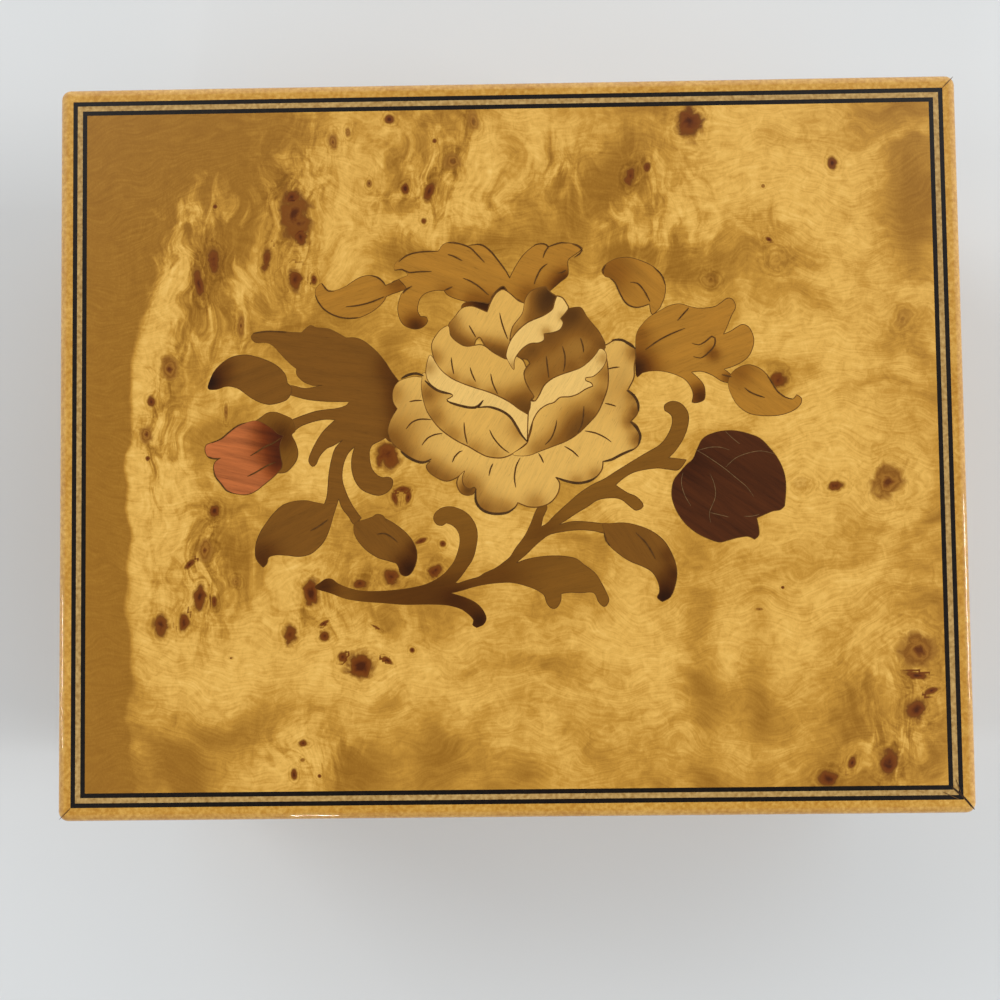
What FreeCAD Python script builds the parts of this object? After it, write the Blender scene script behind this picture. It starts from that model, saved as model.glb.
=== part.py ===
"""A wind-up music box: an inlaid, lacquered wooden case with a hinged lid, and a pinned-cylinder movement.

Frame: the origin is on the surface that the box stands on, under the middle of the case. +X runs to the
right, +Y to the back, where the hinges are, and +Z up. Everything is in millimetres, with the lid shut.
"""

import FreeCAD, Part
import math
import os
import re

import Sketcher
from FreeCAD import Placement, Rotation, Vector

doc = FreeCAD.newDocument("music_box")
parts = []  # the finished sub-parts, in the order in which they are made

# ---------------------------------------------------------------- driving dimensions

SIZES = {
    # case
    "case_width": 150, "case_depth": 122, "case_height": 62,
    "foot_height": 1.5, "split_height": 44, "split_gap": 0.3,
    "wall": 7, "veneer": 0.6, "corner_radius": 1.7,
    "panel_bottom": 10, "panel_thickness": 4,
    # lid top
    "band_width": 2.4, "band_height": 4.6, "edge_radius": 1.4,
    "black_line": 0.75, "light_line": 0.85,
    # inside of the case
    "partition": 3, "partition_top": 43, "partition_x": -9, "partition_y": 1,
    "cleat_width": 3.5, "cleat_height": 4, "tray_board": 2, "tray_pad": 3,
    "lining": 0.8, "lining_top": 43, "fit_gap": 0.3,
    "roll_radius": 6.2, "roll_pitch": 13.1,
    "cover_bottom": 39, "cover_thickness": 2, "ledge_width": 2.5, "ledge_height": 3,
    # inside of the lid
    "lid_lining": 2, "mirror_width": 110, "mirror_depth": 82, "mirror_bevel": 0.8,
    "block_side": 6, "block_foot": 45.9,
    # hinges
    "hinge_x": 45, "hinge_width": 18, "leaf_thickness": 0.9, "leaf_depth": 6.1,
    "knuckle_radius": 1.3, "knuckle_bore": 0.65, "hinge_pin_radius": 0.6, "hinge_set_out": 0.55,
    # movement
    "bed_left": -66, "bed_right": -12, "bed_front": 6.5, "bed_back": 50.5, "bed_thickness": 2.5,
    "bar_x": -51.5, "bar_y": 33, "bar_radius": 1.6, "housing_radius": 11, "housing_height": 10.1,
    "housing_wall": 0.8, "spring_strip": 0.35, "spring_turns": 6,
    "shaft_height": 22.7, "shaft_radius": 1, "running_gap": 0.04,
    "barrel_start": 15.8, "barrel_length": 15.2, "barrel_radius": 6.5,
    "pin_radius": 0.2, "pin_length": 0.8, "notes": 18, "note_pitch": 0.82,
    "crown_teeth": 36, "crown_inner": 12, "crown_outer": 13.5, "pinion_teeth": 12,
    "wheel_teeth": 40, "governor_teeth": 10, "fine_module": 0.35, "centre_slack": 0.12,
    "governor_lift": 18, "worm_wheel_teeth": 24, "worm_radius": 1.3, "worm_turns": 6,
    "worm_x": 33.9, "fan_radius": 3.4, "fan_height": 3,
    "stop_x": -27, "stop_wire": 0.7, "key_width": 24, "key_height": 6.5, "key_thickness": 1.6,
}

sheet = doc.addObject("Spreadsheet::Sheet", "Dimensions")
for row, (alias, size) in enumerate(SIZES.items(), start=1):
    sheet.set(f"A{row}", alias)
    sheet.set(f"B{row}", str(size))
    sheet.setAlias(f"B{row}", alias)
doc.recompute()


def formula(text):
    """A FreeCAD expression from a formula written with the sheet's aliases."""
    return re.sub(r"[a-z][a-z_]+", lambda word: "Dimensions." + word.group(), str(text))


def size_of(text):
    """The present value of such a formula."""
    return float(sheet.evalExpression(formula(text)))


# ---------------------------------------------------------------- building blocks


def bind(piece, prop, text):
    piece.setExpression(prop, formula(text))


def place(piece, corner):
    for axis, text in zip("xyz", corner):
        bind(piece, f"Placement.Base.{axis}", text)
    return piece


def block(label, corner, size):
    """A rectangular block from its lowest corner and its sizes along X, Y and Z."""
    piece = doc.addObject("Part::Box", label)
    for prop, text in zip(("Length", "Width", "Height"), size):
        bind(piece, prop, text)
    return place(piece, corner)


TURNED = {
    "x": Rotation(Vector(0, 1, 0), 90),
    "y": Rotation(Vector(1, 0, 0), -90),
    "z": Rotation(),
}


def rod(label, start, radius, length, along="z"):
    """A cylinder from the centre of its first end."""
    piece = doc.addObject("Part::Cylinder", label)
    bind(piece, "Radius", radius)
    bind(piece, "Height", length)
    piece.Placement = Placement(Vector(), TURNED[along])
    return place(piece, start)


def fuse(label, *pieces):
    made = doc.addObject("Part::MultiFuse", label)
    made.Shapes = list(pieces)
    return made


def cut(label, base, *tools):
    made = doc.addObject("Part::Cut", label)
    made.Base = base
    made.Tool = tools[0] if len(tools) == 1 else fuse(label + "_tools", *tools)
    return made


def common(label, base, tool):
    made = doc.addObject("Part::Common", label)
    made.Base, made.Tool = base, tool
    return made


def together(label, *pieces):
    """Several separate solids that share one sub-part."""
    made = doc.addObject("Part::Compound", label)
    made.Links = list(pieces)
    return made


def feature(label, shape, at=Vector()):
    """A sub-part whose shape is worked out in code from the sheet's sizes."""
    piece = doc.addObject("Part::Feature", label)
    piece.Shape = shape
    piece.Placement = Placement(at, Rotation())
    return piece


def keep(*pieces):
    """Marks finished sub-parts, each of which becomes a file of its own."""
    parts.extend(pieces)


def new_body(label, corner=("0", "0", "0")):
    return place(doc.addObject("PartDesign::Body", label), corner)


def sketch_on(body, name, plane="XY_Plane"):
    sketch = body.newObject("Sketcher::SketchObject", name)
    origin = {feature.Role: feature for feature in body.Origin.OriginFeatures}
    sketch.AttachmentSupport = [(origin[plane], "")]
    sketch.MapMode = "FlatFace"
    return sketch


def hold(sketch, kind, where, text):
    """A dimension from the sketch's origin to a point, bound to the sheet."""
    number = sketch.addConstraint(Sketcher.Constraint(kind, -1, 1, *where, size_of(text)))
    sketch.setExpression(f"Constraints[{number}]", formula(text))


def draw_outline(sketch, corners):
    """A closed outline of straight lines, with every corner bound to the sheet."""
    first = sketch.GeometryCount
    ends = [Vector(size_of(x), size_of(y), 0) for x, y in corners]
    for here, there in zip(ends, ends[1:] + ends[:1]):
        sketch.addGeometry(Part.LineSegment(here, there), False)
    count = len(corners)
    for i in range(count):
        sketch.addConstraint(Sketcher.Constraint("Coincident", first + i, 2, first + (i + 1) % count, 1))
    for i, (x, y) in enumerate(corners):
        hold(sketch, "DistanceX", (first + i, 1), x)
        hold(sketch, "DistanceY", (first + i, 1), y)


def draw_circle(sketch, centre, radius):
    middle = Vector(size_of(centre[0]), size_of(centre[1]), 0)
    number = sketch.addGeometry(Part.Circle(middle, Vector(0, 0, 1), size_of(radius)), False)
    hold(sketch, "DistanceX", (number, 3), centre[0])
    hold(sketch, "DistanceY", (number, 3), centre[1])
    held = sketch.addConstraint(Sketcher.Constraint("Radius", number, size_of(radius)))
    sketch.setExpression(f"Constraints[{held}]", formula(radius))


def pad(body, sketch, height, reverse=False):
    made = body.newObject("PartDesign::Pad", sketch.Name + "_pad")
    made.Profile = sketch
    bind(made, "Length", height)
    made.Reversed = reverse
    return made


def pocket(body, sketch, depth, reverse=False):
    """A pocket that must take material away."""
    doc.recompute()
    before = body.Shape.Volume
    made = body.newObject("PartDesign::Pocket", sketch.Name + "_pocket")
    made.Profile = sketch
    bind(made, "Length", depth)
    made.Reversed = reverse
    doc.recompute()
    if body.Shape.Volume > before - 1e-6:
        raise RuntimeError(f"{made.Name} cuts nothing")
    return made


def plate(label, corners, bottom, thickness):
    """A flat plate of any straight-sided outline."""
    body = new_body(label, ("0", "0", bottom))
    sketch = sketch_on(body, label + "_outline")
    draw_outline(sketch, corners)
    pad(body, sketch, thickness)
    return body


# ---------------------------------------------------------------- mitred frames

HALF_X, HALF_Y = "case_width/2", "case_depth/2"


def mitred(side, inset, thickness):
    """The outline of one side of a mitred frame, whose outer edge is inset from the case's outline."""
    x, y = f"({HALF_X}-({inset}))", f"({HALF_Y}-({inset}))"
    inner_x, inner_y = f"({x}-({thickness}))", f"({y}-({thickness}))"
    signs = {"front": ((-1, -1), (1, -1)), "right": ((1, -1), (1, 1)),
             "back": ((1, 1), (-1, 1)), "left": ((-1, 1), (-1, -1))}[side]
    outer = [(f"{sx}*{x}", f"{sy}*{y}") for sx, sy in signs]
    inner = [(f"{sx}*{inner_x}", f"{sy}*{inner_y}") for sx, sy in reversed(signs)]
    return outer + inner


SIDES = ("front", "right", "back", "left")


def mitred_sides(label, inset, thickness, bottom, height):
    return [plate(f"{label}_{side}", mitred(side, inset, thickness), bottom, height) for side in SIDES]


def rounded_case(label, bottom, height, top_radius=None):
    """The case's outline as a solid, with its upright corners rounded, and its top edge if asked."""
    corners = [(f"{sx}*{HALF_X}", f"{sy}*{HALF_Y}") for sx, sy in ((-1, -1), (1, -1), (1, 1), (-1, 1))]
    body = plate(label, corners, bottom, height)
    doc.recompute()
    solid = body.Tip
    uprights = [f"Edge{n}" for n, edge in enumerate(solid.Shape.Edges, start=1)
                if abs(edge.tangentAt(edge.FirstParameter).z) > 0.99]
    rounding = body.newObject("PartDesign::Fillet", label + "_corners")
    rounding.Base = (solid, uprights)
    bind(rounding, "Radius", "corner_radius")
    doc.recompute()
    if top_radius:
        top = size_of(height)
        rim = [f"Edge{n}" for n, edge in enumerate(rounding.Shape.Edges, start=1)
               if edge.BoundBox.ZMin > top - 0.001]
        soft = body.newObject("PartDesign::Fillet", label + "_rim")
        soft.Base = (rounding, rim)
        bind(soft, "Radius", top_radius)
    return body


def skin(label, thickness, bottom, height, notches=(), top_radius=None):
    """Four mitred strips that follow the case's rounded outline; the notches go into the back one."""
    form = rounded_case(label + "_form", bottom, height, top_radius)
    strips = []
    for side, strip in zip(SIDES, mitred_sides(label + "_strip", "0", thickness, bottom, height)):
        shaped = common(f"{label}_{side}", strip, form)
        if notches and side == "back":
            shaped = cut(f"{label}_notched", shaped, *notches)
        strips.append(shaped)
    return together(label, *strips)


# ---------------------------------------------------------------- hinges

HINGE_Y = "case_depth/2+hinge_set_out"
HINGE_Z = "split_height+split_gap/2"
LID_BOTTOM = "split_height+split_gap"
HINGE_SIDES = (-1, 1)


def leaf_mortises(label, half):
    """The room that both hinges need in the back of the case, for the body's half or the lid's."""
    tools = []
    for sign in HINGE_SIDES:
        left = f"{sign}*hinge_x-hinge_width/2-0.1"
        wide = "hinge_width+0.2"
        deep = "leaf_thickness"
        low = {"body": "split_height-leaf_thickness", "lid": LID_BOTTOM}[half]
        tools.append(block(f"{label}_leaf{sign + 2}", (left, "case_depth/2-leaf_depth-0.1+0.5", low),
                           (wide, "leaf_depth", deep)))
        low = {"body": f"{HINGE_Z}-knuckle_radius-0.15", "lid": LID_BOTTOM}[half]
        tools.append(block(f"{label}_barrel{sign + 2}", (left, "case_depth/2-0.95", low),
                           (wide, "1.5", "knuckle_radius+0.15")))
    return tools


def hinge_leaves(label, half):
    """Both leaves of one half, each with its knuckles round the hinge's axis."""
    leaves = []
    knuckles = {"body": ((0, 0.3), (0.7, 0.3)), "lid": ((0.31, 0.38),)}[half]
    low = {"body": "split_height-leaf_thickness", "lid": LID_BOTTOM}[half]
    bore_radius = {"body": "hinge_pin_radius", "lid": "knuckle_bore"}[half]
    for sign in HINGE_SIDES:
        left = f"{sign}*hinge_x-hinge_width/2"
        name = f"{label}_{sign + 2}"
        pieces = [block(name + "_flat", (left, f"{HINGE_Y}-leaf_depth", low),
                        ("hinge_width", "leaf_depth-knuckle_radius-0.15", "leaf_thickness"))]
        for n, (start, share) in enumerate(knuckles):
            begin, wide = f"{left}+hinge_width*{start}", f"hinge_width*{share}"
            pieces.append(rod(f"{name}_knuckle{n}", (begin, HINGE_Y, HINGE_Z), "knuckle_radius", wide, "x"))
            pieces.append(block(f"{name}_web{n}", (begin, f"{HINGE_Y}-knuckle_radius-0.2", low),
                                (wide, "knuckle_radius*0.8", "leaf_thickness")))
        bore = rod(name + "_bore", (f"{left}-1", HINGE_Y, HINGE_Z), bore_radius, "hinge_width+2", "x")
        sinks = [hinge_screw(f"{name}_sink{k + 2}", sign, k, half, "0.01") for k in (-1, 1)]
        leaves.append(cut(name, fuse(name + "_whole", *pieces), bore, *sinks))
    return together(label, *leaves)


def hinge_screw(label, sign, k, half, ease="0"):
    """A countersunk screw, or with some ease the hole that it goes in."""
    x, y = f"{sign}*hinge_x{k * 5:+d}", "case_depth/2-3.4"
    face = {"body": "split_height", "lid": LID_BOTTOM}[half]
    inward = {"body": -1, "lid": 1}[half]
    low = {"body": f"{face}-5.4", "lid": face}[half]
    shank = rod(label + "_shank", (x, y, low), f"0.7+{ease}", "5.4")
    head = doc.addObject("Part::Cone", label + "_head")
    bind(head, "Radius1", f"1.25+{ease}" if inward > 0 else f"0.7+{ease}")
    bind(head, "Radius2", f"0.7+{ease}" if inward > 0 else f"1.25+{ease}")
    bind(head, "Height", "0.6")
    place(head, (x, y, face if inward > 0 else f"{face}-0.6"))
    return fuse(label, shank, head)


def hinge_screws(label, half, ease="0"):
    return [hinge_screw(f"{label}_{sign + 2}{k + 2}", sign, k, half, ease) for sign in HINGE_SIDES
            for k in (-1, 1)]


def make_hinges():
    pins = [rod(f"hinge_pin_{sign + 2}", (f"{sign}*hinge_x-hinge_width/2", HINGE_Y, HINGE_Z),
                "hinge_pin_radius", "hinge_width", "x") for sign in HINGE_SIDES]
    keep(hinge_leaves("hinge_body_leaves", "body"), hinge_leaves("hinge_lid_leaves", "lid"),
         together("hinge_pins", *pins),
         together("hinge_body_screws", *hinge_screws("body_hinge_screw", "body")),
         together("hinge_lid_screws", *hinge_screws("lid_hinge_screw", "lid")))


# ---------------------------------------------------------------- case body

FLOOR = "panel_bottom+panel_thickness"
INNER_X, INNER_Y = "(case_width/2-wall)", "(case_depth/2-wall)"
TRAY_BOTTOM = f"{FLOOR}+cleat_height"
TRAY_TOP = f"{TRAY_BOTTOM}+tray_board"
PANEL_SCREWS = (("-60", "-51.6"), ("60", "-51.6"), ("60", "51.6"), ("4", "51.6"))
BED_SCREWS = (("-60", "17"), ("-40", "46"), ("-24", "19"))


def make_case_boards():
    height = "split_height-foot_height"
    core = "wall-veneer"
    for side, board in zip(SIDES, mitred_sides("board", "veneer", core, "foot_height", height)):
        if side == "back":
            keep(cut("back_board", board, *leaf_mortises("body_mortise", "body"),
                     *hinge_screws("body_pilot", "body", "0.01")))
        else:
            board.Label = side + "_board"
            keep(board)
    notches = leaf_mortises("veneer_mortise", "body")
    keep(skin("body_side_veneers", "veneer", "foot_height", height, notches))
    feet = [block(f"foot_{sx + 2}{sy + 2}", (f"{sx}*(case_width/2-7)-6", f"{sy}*(case_depth/2-3.6)-2.8", "0"),
                  ("12", "5.6", "foot_height")) for sx in (-1, 1) for sy in (-1, 1)]
    keep(together("felt_feet", *feet))


def make_bottom():
    """The bottom panel, the cleats that it is screwed to, and its screws."""
    corners = [(f"{sx}*({INNER_X}-0.1)", f"{sy}*({INNER_Y}-0.1)") for sx, sy in
               ((-1, -1), (1, -1), (1, 1), (-1, 1))]
    board = plate("bottom_board", corners, "panel_bottom", "panel_thickness")
    holes = [rod("key_hole", ("bar_x", "bar_y", "panel_bottom"), "2.6", "panel_thickness")]
    screws = []
    for n, (x, y) in enumerate(PANEL_SCREWS):
        holes.append(rod(f"panel_hole_{n}", (x, y, "panel_bottom"), "1.1", "panel_thickness"))
        holes.append(rod(f"panel_sink_{n}", (x, y, "panel_bottom"), "2", "1.2"))
        head = rod(f"panel_head_{n}", (x, y, "panel_bottom+0.1"), "1.9", "1.1")
        shank = rod(f"panel_shank_{n}", (x, y, "panel_bottom+0.1"), "1", "7")
        screws.append(fuse(f"panel_screw_{n}", head, shank))
    for n, (x, y) in enumerate(BED_SCREWS):
        holes.append(rod(f"bed_hole_{n}", (x, y, "panel_bottom"), "1.5", "panel_thickness"))
    keep(cut("bottom_panel", board, *holes), together("bottom_screws", *screws))
    left, middle = f"-{INNER_X}+fit_gap", f"partition_x-fit_gap+{INNER_X}-fit_gap"
    right, span = "partition_x+partition+fit_gap", f"{INNER_X}-partition_x-partition-2*fit_gap"
    front, back = f"-{INNER_Y}", f"{INNER_Y}-cleat_width"
    runs = ((left, front, middle), (left, "partition_y-cleat_width", middle),
            (right, front, span), (right, back, span))
    cleats = [block(f"cleat_{n}", (x, y, FLOOR), (long, "cleat_width", "cleat_height"))
              for n, (x, y, long) in enumerate(runs)]
    pilots = [rod(f"cleat_pilot_{n}", (x, y, FLOOR), "1.02", "3.2") for n, (x, y) in enumerate(PANEL_SCREWS)]
    keep(cut("bottom_cleats", together("cleat_strips", *cleats), *pilots))


def make_partitions():
    low, tall = FLOOR, f"partition_top-({FLOOR})"
    keep(block("long_partition", ("partition_x", f"-{INNER_Y}", low), ("partition", f"2*{INNER_Y}", tall)))
    keep(block("short_partition", (f"-{INNER_X}", "partition_y", low),
               (f"partition_x+{INNER_X}", "partition", tall)))


def lined(label, x0, x1, y0, y1):
    """Four thin covered boards that line the walls of a tray."""
    tall = f"lining_top-({TRAY_TOP})"
    long_x = f"({x1})-({x0})"
    short_y = f"({y1})-({y0})-2*lining"
    return [
        block(label + "_front", (x0, y0, TRAY_TOP), (long_x, "lining", tall)),
        block(label + "_back", (x0, f"({y1})-lining", TRAY_TOP), (long_x, "lining", tall)),
        block(label + "_left", (x0, f"({y0})+lining", TRAY_TOP), ("lining", short_y, tall)),
        block(label + "_right", (f"({x1})-lining", f"({y0})+lining", TRAY_TOP), ("lining", short_y, tall)),
    ]


def make_trays():
    """The jewel tray on the right and the ring tray at the front left."""
    jewel = ("partition_x+partition", INNER_X, f"-{INNER_Y}", INNER_Y)
    ring = (f"-{INNER_X}", "partition_x", f"-{INNER_Y}", "partition_y")
    boards = []
    for name, (x0, x1, y0, y1) in (("jewel", jewel), ("ring", ring)):
        boards.append(block(name + "_board", (f"{x0}+fit_gap", f"{y0}+fit_gap", TRAY_BOTTOM),
                            (f"({x1})-({x0})-2*fit_gap", f"({y1})-({y0})-2*fit_gap", "tray_board")))
    keep(together("tray_boards", *boards))
    keep(together("tray_linings", *lined("jewel_lining", *jewel), *lined("ring_lining", *ring)))
    edge = "(lining+fit_gap)"
    keep(block("jewel_tray_pad", (f"{jewel[0]}+{edge}", f"{jewel[2]}+{edge}", TRAY_TOP),
               (f"{jewel[1]}-({jewel[0]})-2*{edge}", f"2*({INNER_Y}-{edge})", "tray_pad")))
    rolls = [rod(f"ring_roll_{n}", (f"{ring[0]}+{edge}", f"{ring[2]}+{edge}+roll_radius+{n}*roll_pitch",
                                    f"{TRAY_TOP}+roll_radius"),
                 "roll_radius", f"{ring[1]}-({ring[0]})-2*{edge}", "x") for n in range(4)]
    keep(together("ring_rolls", *rolls))


def make_movement_cover():
    """The clear cover over the movement, and the two ledges that it lies on."""
    y0, long = "partition_y+partition+fit_gap", f"{INNER_Y}-partition_y-partition-2*fit_gap"
    sheet_plate = block("cover_sheet", (f"-{INNER_X}+fit_gap", y0, "cover_bottom"),
                        (f"partition_x+{INNER_X}-2*fit_gap", long, "cover_thickness"))
    hole = rod("cover_hole", ("stop_x", WORM_Y, "cover_bottom"), "1.1", "cover_thickness")
    keep(cut("movement_cover", sheet_plate, hole))
    ledges = [block(f"ledge_{n}", (x, y0, "cover_bottom-ledge_height"), ("ledge_width", long, "ledge_height"))
              for n, x in enumerate((f"-{INNER_X}", "partition_x-ledge_width"))]
    keep(together("cover_ledges", *ledges))


# ---------------------------------------------------------------- lid

BAND_BOTTOM = "case_height-band_height"


def make_lid_frame():
    tall = f"{BAND_BOTTOM}-({LID_BOTTOM})"
    rails = together("rail_strips", *mitred_sides("rail", "veneer", "wall-veneer", LID_BOTTOM, tall))
    keep(cut("lid_rails", rails, *leaf_mortises("rail_mortise", "lid"),
             *hinge_screws("lid_pilot", "lid", "0.01")))
    keep(skin("lid_side_veneers", "veneer", LID_BOTTOM, tall, leaf_mortises("skirt_mortise", "lid")))
    keep(skin("edge_banding", "band_width", BAND_BOTTOM, "band_height", top_radius="edge_radius"))
    panel = [(f"{sx}*({HALF_X}-band_width)", f"{sy}*({HALF_Y}-band_width)") for sx, sy in
             ((-1, -1), (1, -1), (1, 1), (-1, 1))]
    keep(plate("lid_panel", panel, BAND_BOTTOM, "band_height-veneer"))


def make_lid_top():
    """The burr veneer of the top and the three mitred lines round it, all flush."""
    low = "case_height-veneer"
    lines = (("outer_black_line", "band_width", "black_line"),
             ("light_line_inlay", "band_width+black_line", "light_line"),
             ("inner_black_line", "band_width+black_line+light_line", "black_line"))
    for label, inset, wide in lines:
        keep(together(label, *mitred_sides(label, inset, wide, low, "veneer")))
    inset = "(band_width+2*black_line+light_line)"
    field = [(f"{sx}*({HALF_X}-{inset})", f"{sy}*({HALF_Y}-{inset})") for sx, sy in
             ((-1, -1), (1, -1), (1, 1), (-1, 1))]
    keep(plate("burr_veneer", field, low, "veneer"))


def make_lid_inside():
    low = f"{BAND_BOTTOM}-lid_lining"
    gap = f"{INNER_X}-fit_gap", f"{INNER_Y}-fit_gap"
    board = block("lining_board", (f"-({gap[0]})", f"-({gap[1]})", low),
                  (f"2*({gap[0]})", f"2*({gap[1]})", "lid_lining"))
    window = block("lining_window", ("-mirror_width/2-0.2", "-mirror_depth/2-0.2", low),
                   ("mirror_width+0.4", "mirror_depth+0.4", "lid_lining"))
    keep(cut("lid_lining_frame", board, window))
    corners = [(f"{sx}*mirror_width/2", f"{sy}*mirror_depth/2")
               for sx, sy in ((-1, -1), (1, -1), (1, 1), (-1, 1))]
    mirror = plate("mirror", corners, low, "lid_lining")
    doc.recompute()
    glass = mirror.Tip
    rim = [f"Edge{n}" for n, edge in enumerate(glass.Shape.Edges, start=1) if edge.BoundBox.ZMax < 0.001]
    bevel = mirror.newObject("PartDesign::Chamfer", "mirror_edge")
    bevel.Base = (glass, rim)
    bind(bevel, "Size", "mirror_bevel")
    keep(mirror)
    keep(block("stop_block", ("stop_x-block_side/2", f"{WORM_Y}-block_side/2", "block_foot"),
               ("block_side", "block_side", f"{low}-block_foot")))


# ---------------------------------------------------------------- gears


def toothed_face(teeth, module, share, phase=0.0):
    """The flat outline of a spur gear; share is how much of the pitch a tooth takes at the pitch circle."""
    pitch = 2 * math.pi / teeth
    root, middle, tip = module * (teeth - 2.4) / 2, module * teeth / 2, module * (teeth + 1.9) / 2
    steps = ((root, -share * 0.68), (middle, -share / 2), (tip, -share * 0.27),
             (tip, share * 0.27), (middle, share / 2), (root, share * 0.68))
    corners = []
    for n in range(teeth):
        for radius, turn in steps:
            angle = math.radians(phase) + (n + turn) * pitch
            corners.append(Vector(radius * math.cos(angle), radius * math.sin(angle), 0))
    return Part.Face(Part.makePolygon(corners + corners[:1]))


def spur_gear(teeth, module, width, bore, share, phase=0.0):
    blank = toothed_face(teeth, module, share, phase).extrude(Vector(0, 0, width))
    return blank.cut(Part.makeCylinder(bore, width + 2, Vector(0, 0, -1)))


def along_x(shape, x, y, z):
    """Turns a shape's +Z to +X and moves its origin to a point."""
    shape.Placement = Placement(Vector(x, y, z), TURNED["x"])
    return shape


def spoked(shape, inner, outer, width, count):
    """Cuts round windows between a wheel's hub and its rim."""
    middle, hole = (inner + outer) / 2, (outer - inner) / 2
    for n in range(count):
        angle = 2 * math.pi * n / count
        at = Vector(middle * math.cos(angle), middle * math.sin(angle), -1)
        shape = shape.cut(Part.makeCylinder(hole, width + 2, at))
    return shape


# Where the movement's axes lie
BAR_X, BAR_Y = size_of("bar_x"), size_of("bar_y")
SHAFT_Z = size_of("shaft_height")
FINE = size_of("fine_module")
RUN = size_of("running_gap")
CENTRES = FINE * (size_of("wheel_teeth") + size_of("governor_teeth")) / 2 + size_of("centre_slack")
LIFT = math.radians(size_of("governor_lift"))
GOVERNOR_Y = BAR_Y + CENTRES * math.cos(LIFT)
GOVERNOR_Z = SHAFT_Z + CENTRES * math.sin(LIFT)
WORM_X = BAR_X + size_of("worm_x")
WORM_Y_VALUE = GOVERNOR_Y + FINE * size_of("worm_wheel_teeth") / 2 + size_of("worm_radius") + 0.1
WORM_Y = f"{WORM_Y_VALUE:.4f}"
BED_TOP = f"{FLOOR}+bed_thickness"
BED_Z = size_of(BED_TOP)
CROWN_PITCH = math.pi * (size_of("crown_inner") + size_of("crown_outer")) / size_of("crown_teeth")
PINION_RADIUS = CROWN_PITCH * size_of("pinion_teeth") / (2 * math.pi)
CROWN_PLANE = SHAFT_Z + PINION_RADIUS + 0.08  # where the crown's pitch plane lies
CROWN_ROOT = CROWN_PLANE + 0.72
CROWN_TIP = CROWN_PLANE - 0.55
WHEEL_THICKNESS = 1.25
CLICK_PIVOT = (-7.1, 4.1)  # from the bar, on the great wheel


def crown_wheel():
    """The great wheel: a spoked disc with teeth that hang from its rim."""
    inner, outer = size_of("crown_inner"), size_of("crown_outer")
    rim = outer + 0.15
    disc = Part.makeCylinder(rim, WHEEL_THICKNESS).cut(Part.makeCylinder(size_of("bar_radius") + RUN, 3))
    disc = spoked(disc, 5.4, 11.0, WHEEL_THICKNESS, 6)
    drop = CROWN_TIP - CROWN_ROOT
    wide, narrow = CROWN_PITCH * 0.2, CROWN_PITCH * 0.1
    profile = [Vector(inner, -wide, 0.05), Vector(inner, -wide, 0), Vector(inner, -narrow, drop),
               Vector(inner, narrow, drop), Vector(inner, wide, 0), Vector(inner, wide, 0.05)]
    tooth = Part.Face(Part.makePolygon(profile + profile[:1])).extrude(Vector(outer - inner, 0, 0))
    teeth = []
    for n in range(int(size_of("crown_teeth"))):
        copy = tooth.copy()
        copy.rotate(Vector(), Vector(0, 0, 1), 360 * n / size_of("crown_teeth"))
        teeth.append(copy)
    return disc.fuse(teeth).removeSplitter()


def ratchet(radius, depth, teeth, width):
    """A wheel with saw teeth."""
    corners = []
    for n in range(teeth):
        angle = 2 * math.pi * n / teeth
        corners.append(Vector(radius * math.cos(angle), radius * math.sin(angle), 0))
        corners.append(Vector((radius - depth) * math.cos(angle + 0.04),
                              (radius - depth) * math.sin(angle + 0.04), 0))
    blank = Part.Face(Part.makePolygon(corners + corners[:1])).extrude(Vector(0, 0, width))
    return blank.cut(Part.makeCylinder(size_of("bar_radius"), width + 2, Vector(0, 0, -1)))


def spiral_strip(inner, outer, turns, thickness, height):
    """A flat spring wound as an even spiral."""
    steps = 40 * turns

    def side(offset):
        points = []
        for n in range(steps + 1):
            radius = inner + (outer - inner) * n / steps + offset
            angle = 2 * math.pi * turns * n / steps
            points.append(Vector(radius * math.cos(angle), radius * math.sin(angle), 0))
        curve = Part.BSplineCurve()
        curve.interpolate(points)
        return curve.toShape(), points[0], points[-1]

    near, near_start, near_end = side(-thickness / 2)
    far, far_start, far_end = side(thickness / 2)
    ends = [Part.makeLine(near_start, far_start), Part.makeLine(near_end, far_end)]
    outline = Part.Wire(Part.__sortEdges__([near, ends[1], far, ends[0]]))
    return Part.Face(outline).extrude(Vector(0, 0, height))


def coil(radius, wire, pitch, height):
    """A helical spring, with its round wire drawn as eight flats."""
    path = Part.Wire(Part.makeHelix(pitch, height, radius))
    turns = [2 * math.pi * (n + 0.5) / 8 for n in range(8)]
    ring = [Vector(radius + wire * math.cos(turn), 0, wire * math.sin(turn)) for turn in turns]
    return path.makePipeShell([Part.Wire(Part.makePolygon(ring + ring[:1]))], True, True)


def worm(pitch, radius, turns, core):
    """A single right-hand thread round a core, from z = 0 up."""
    half, crest = pitch * 0.2, pitch * 0.1
    tip = radius + FINE * 0.9
    profile = [Vector(core - 0.05, 0, -half), Vector(tip, 0, -crest), Vector(tip, 0, crest),
               Vector(core - 0.05, 0, half)]
    path = Part.Wire(Part.makeHelix(pitch, pitch * turns, radius))
    return path.makePipeShell([Part.Wire(Part.makePolygon(profile + profile[:1]))], True, True)


# ---------------------------------------------------------------- movement, fixed pieces


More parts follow.
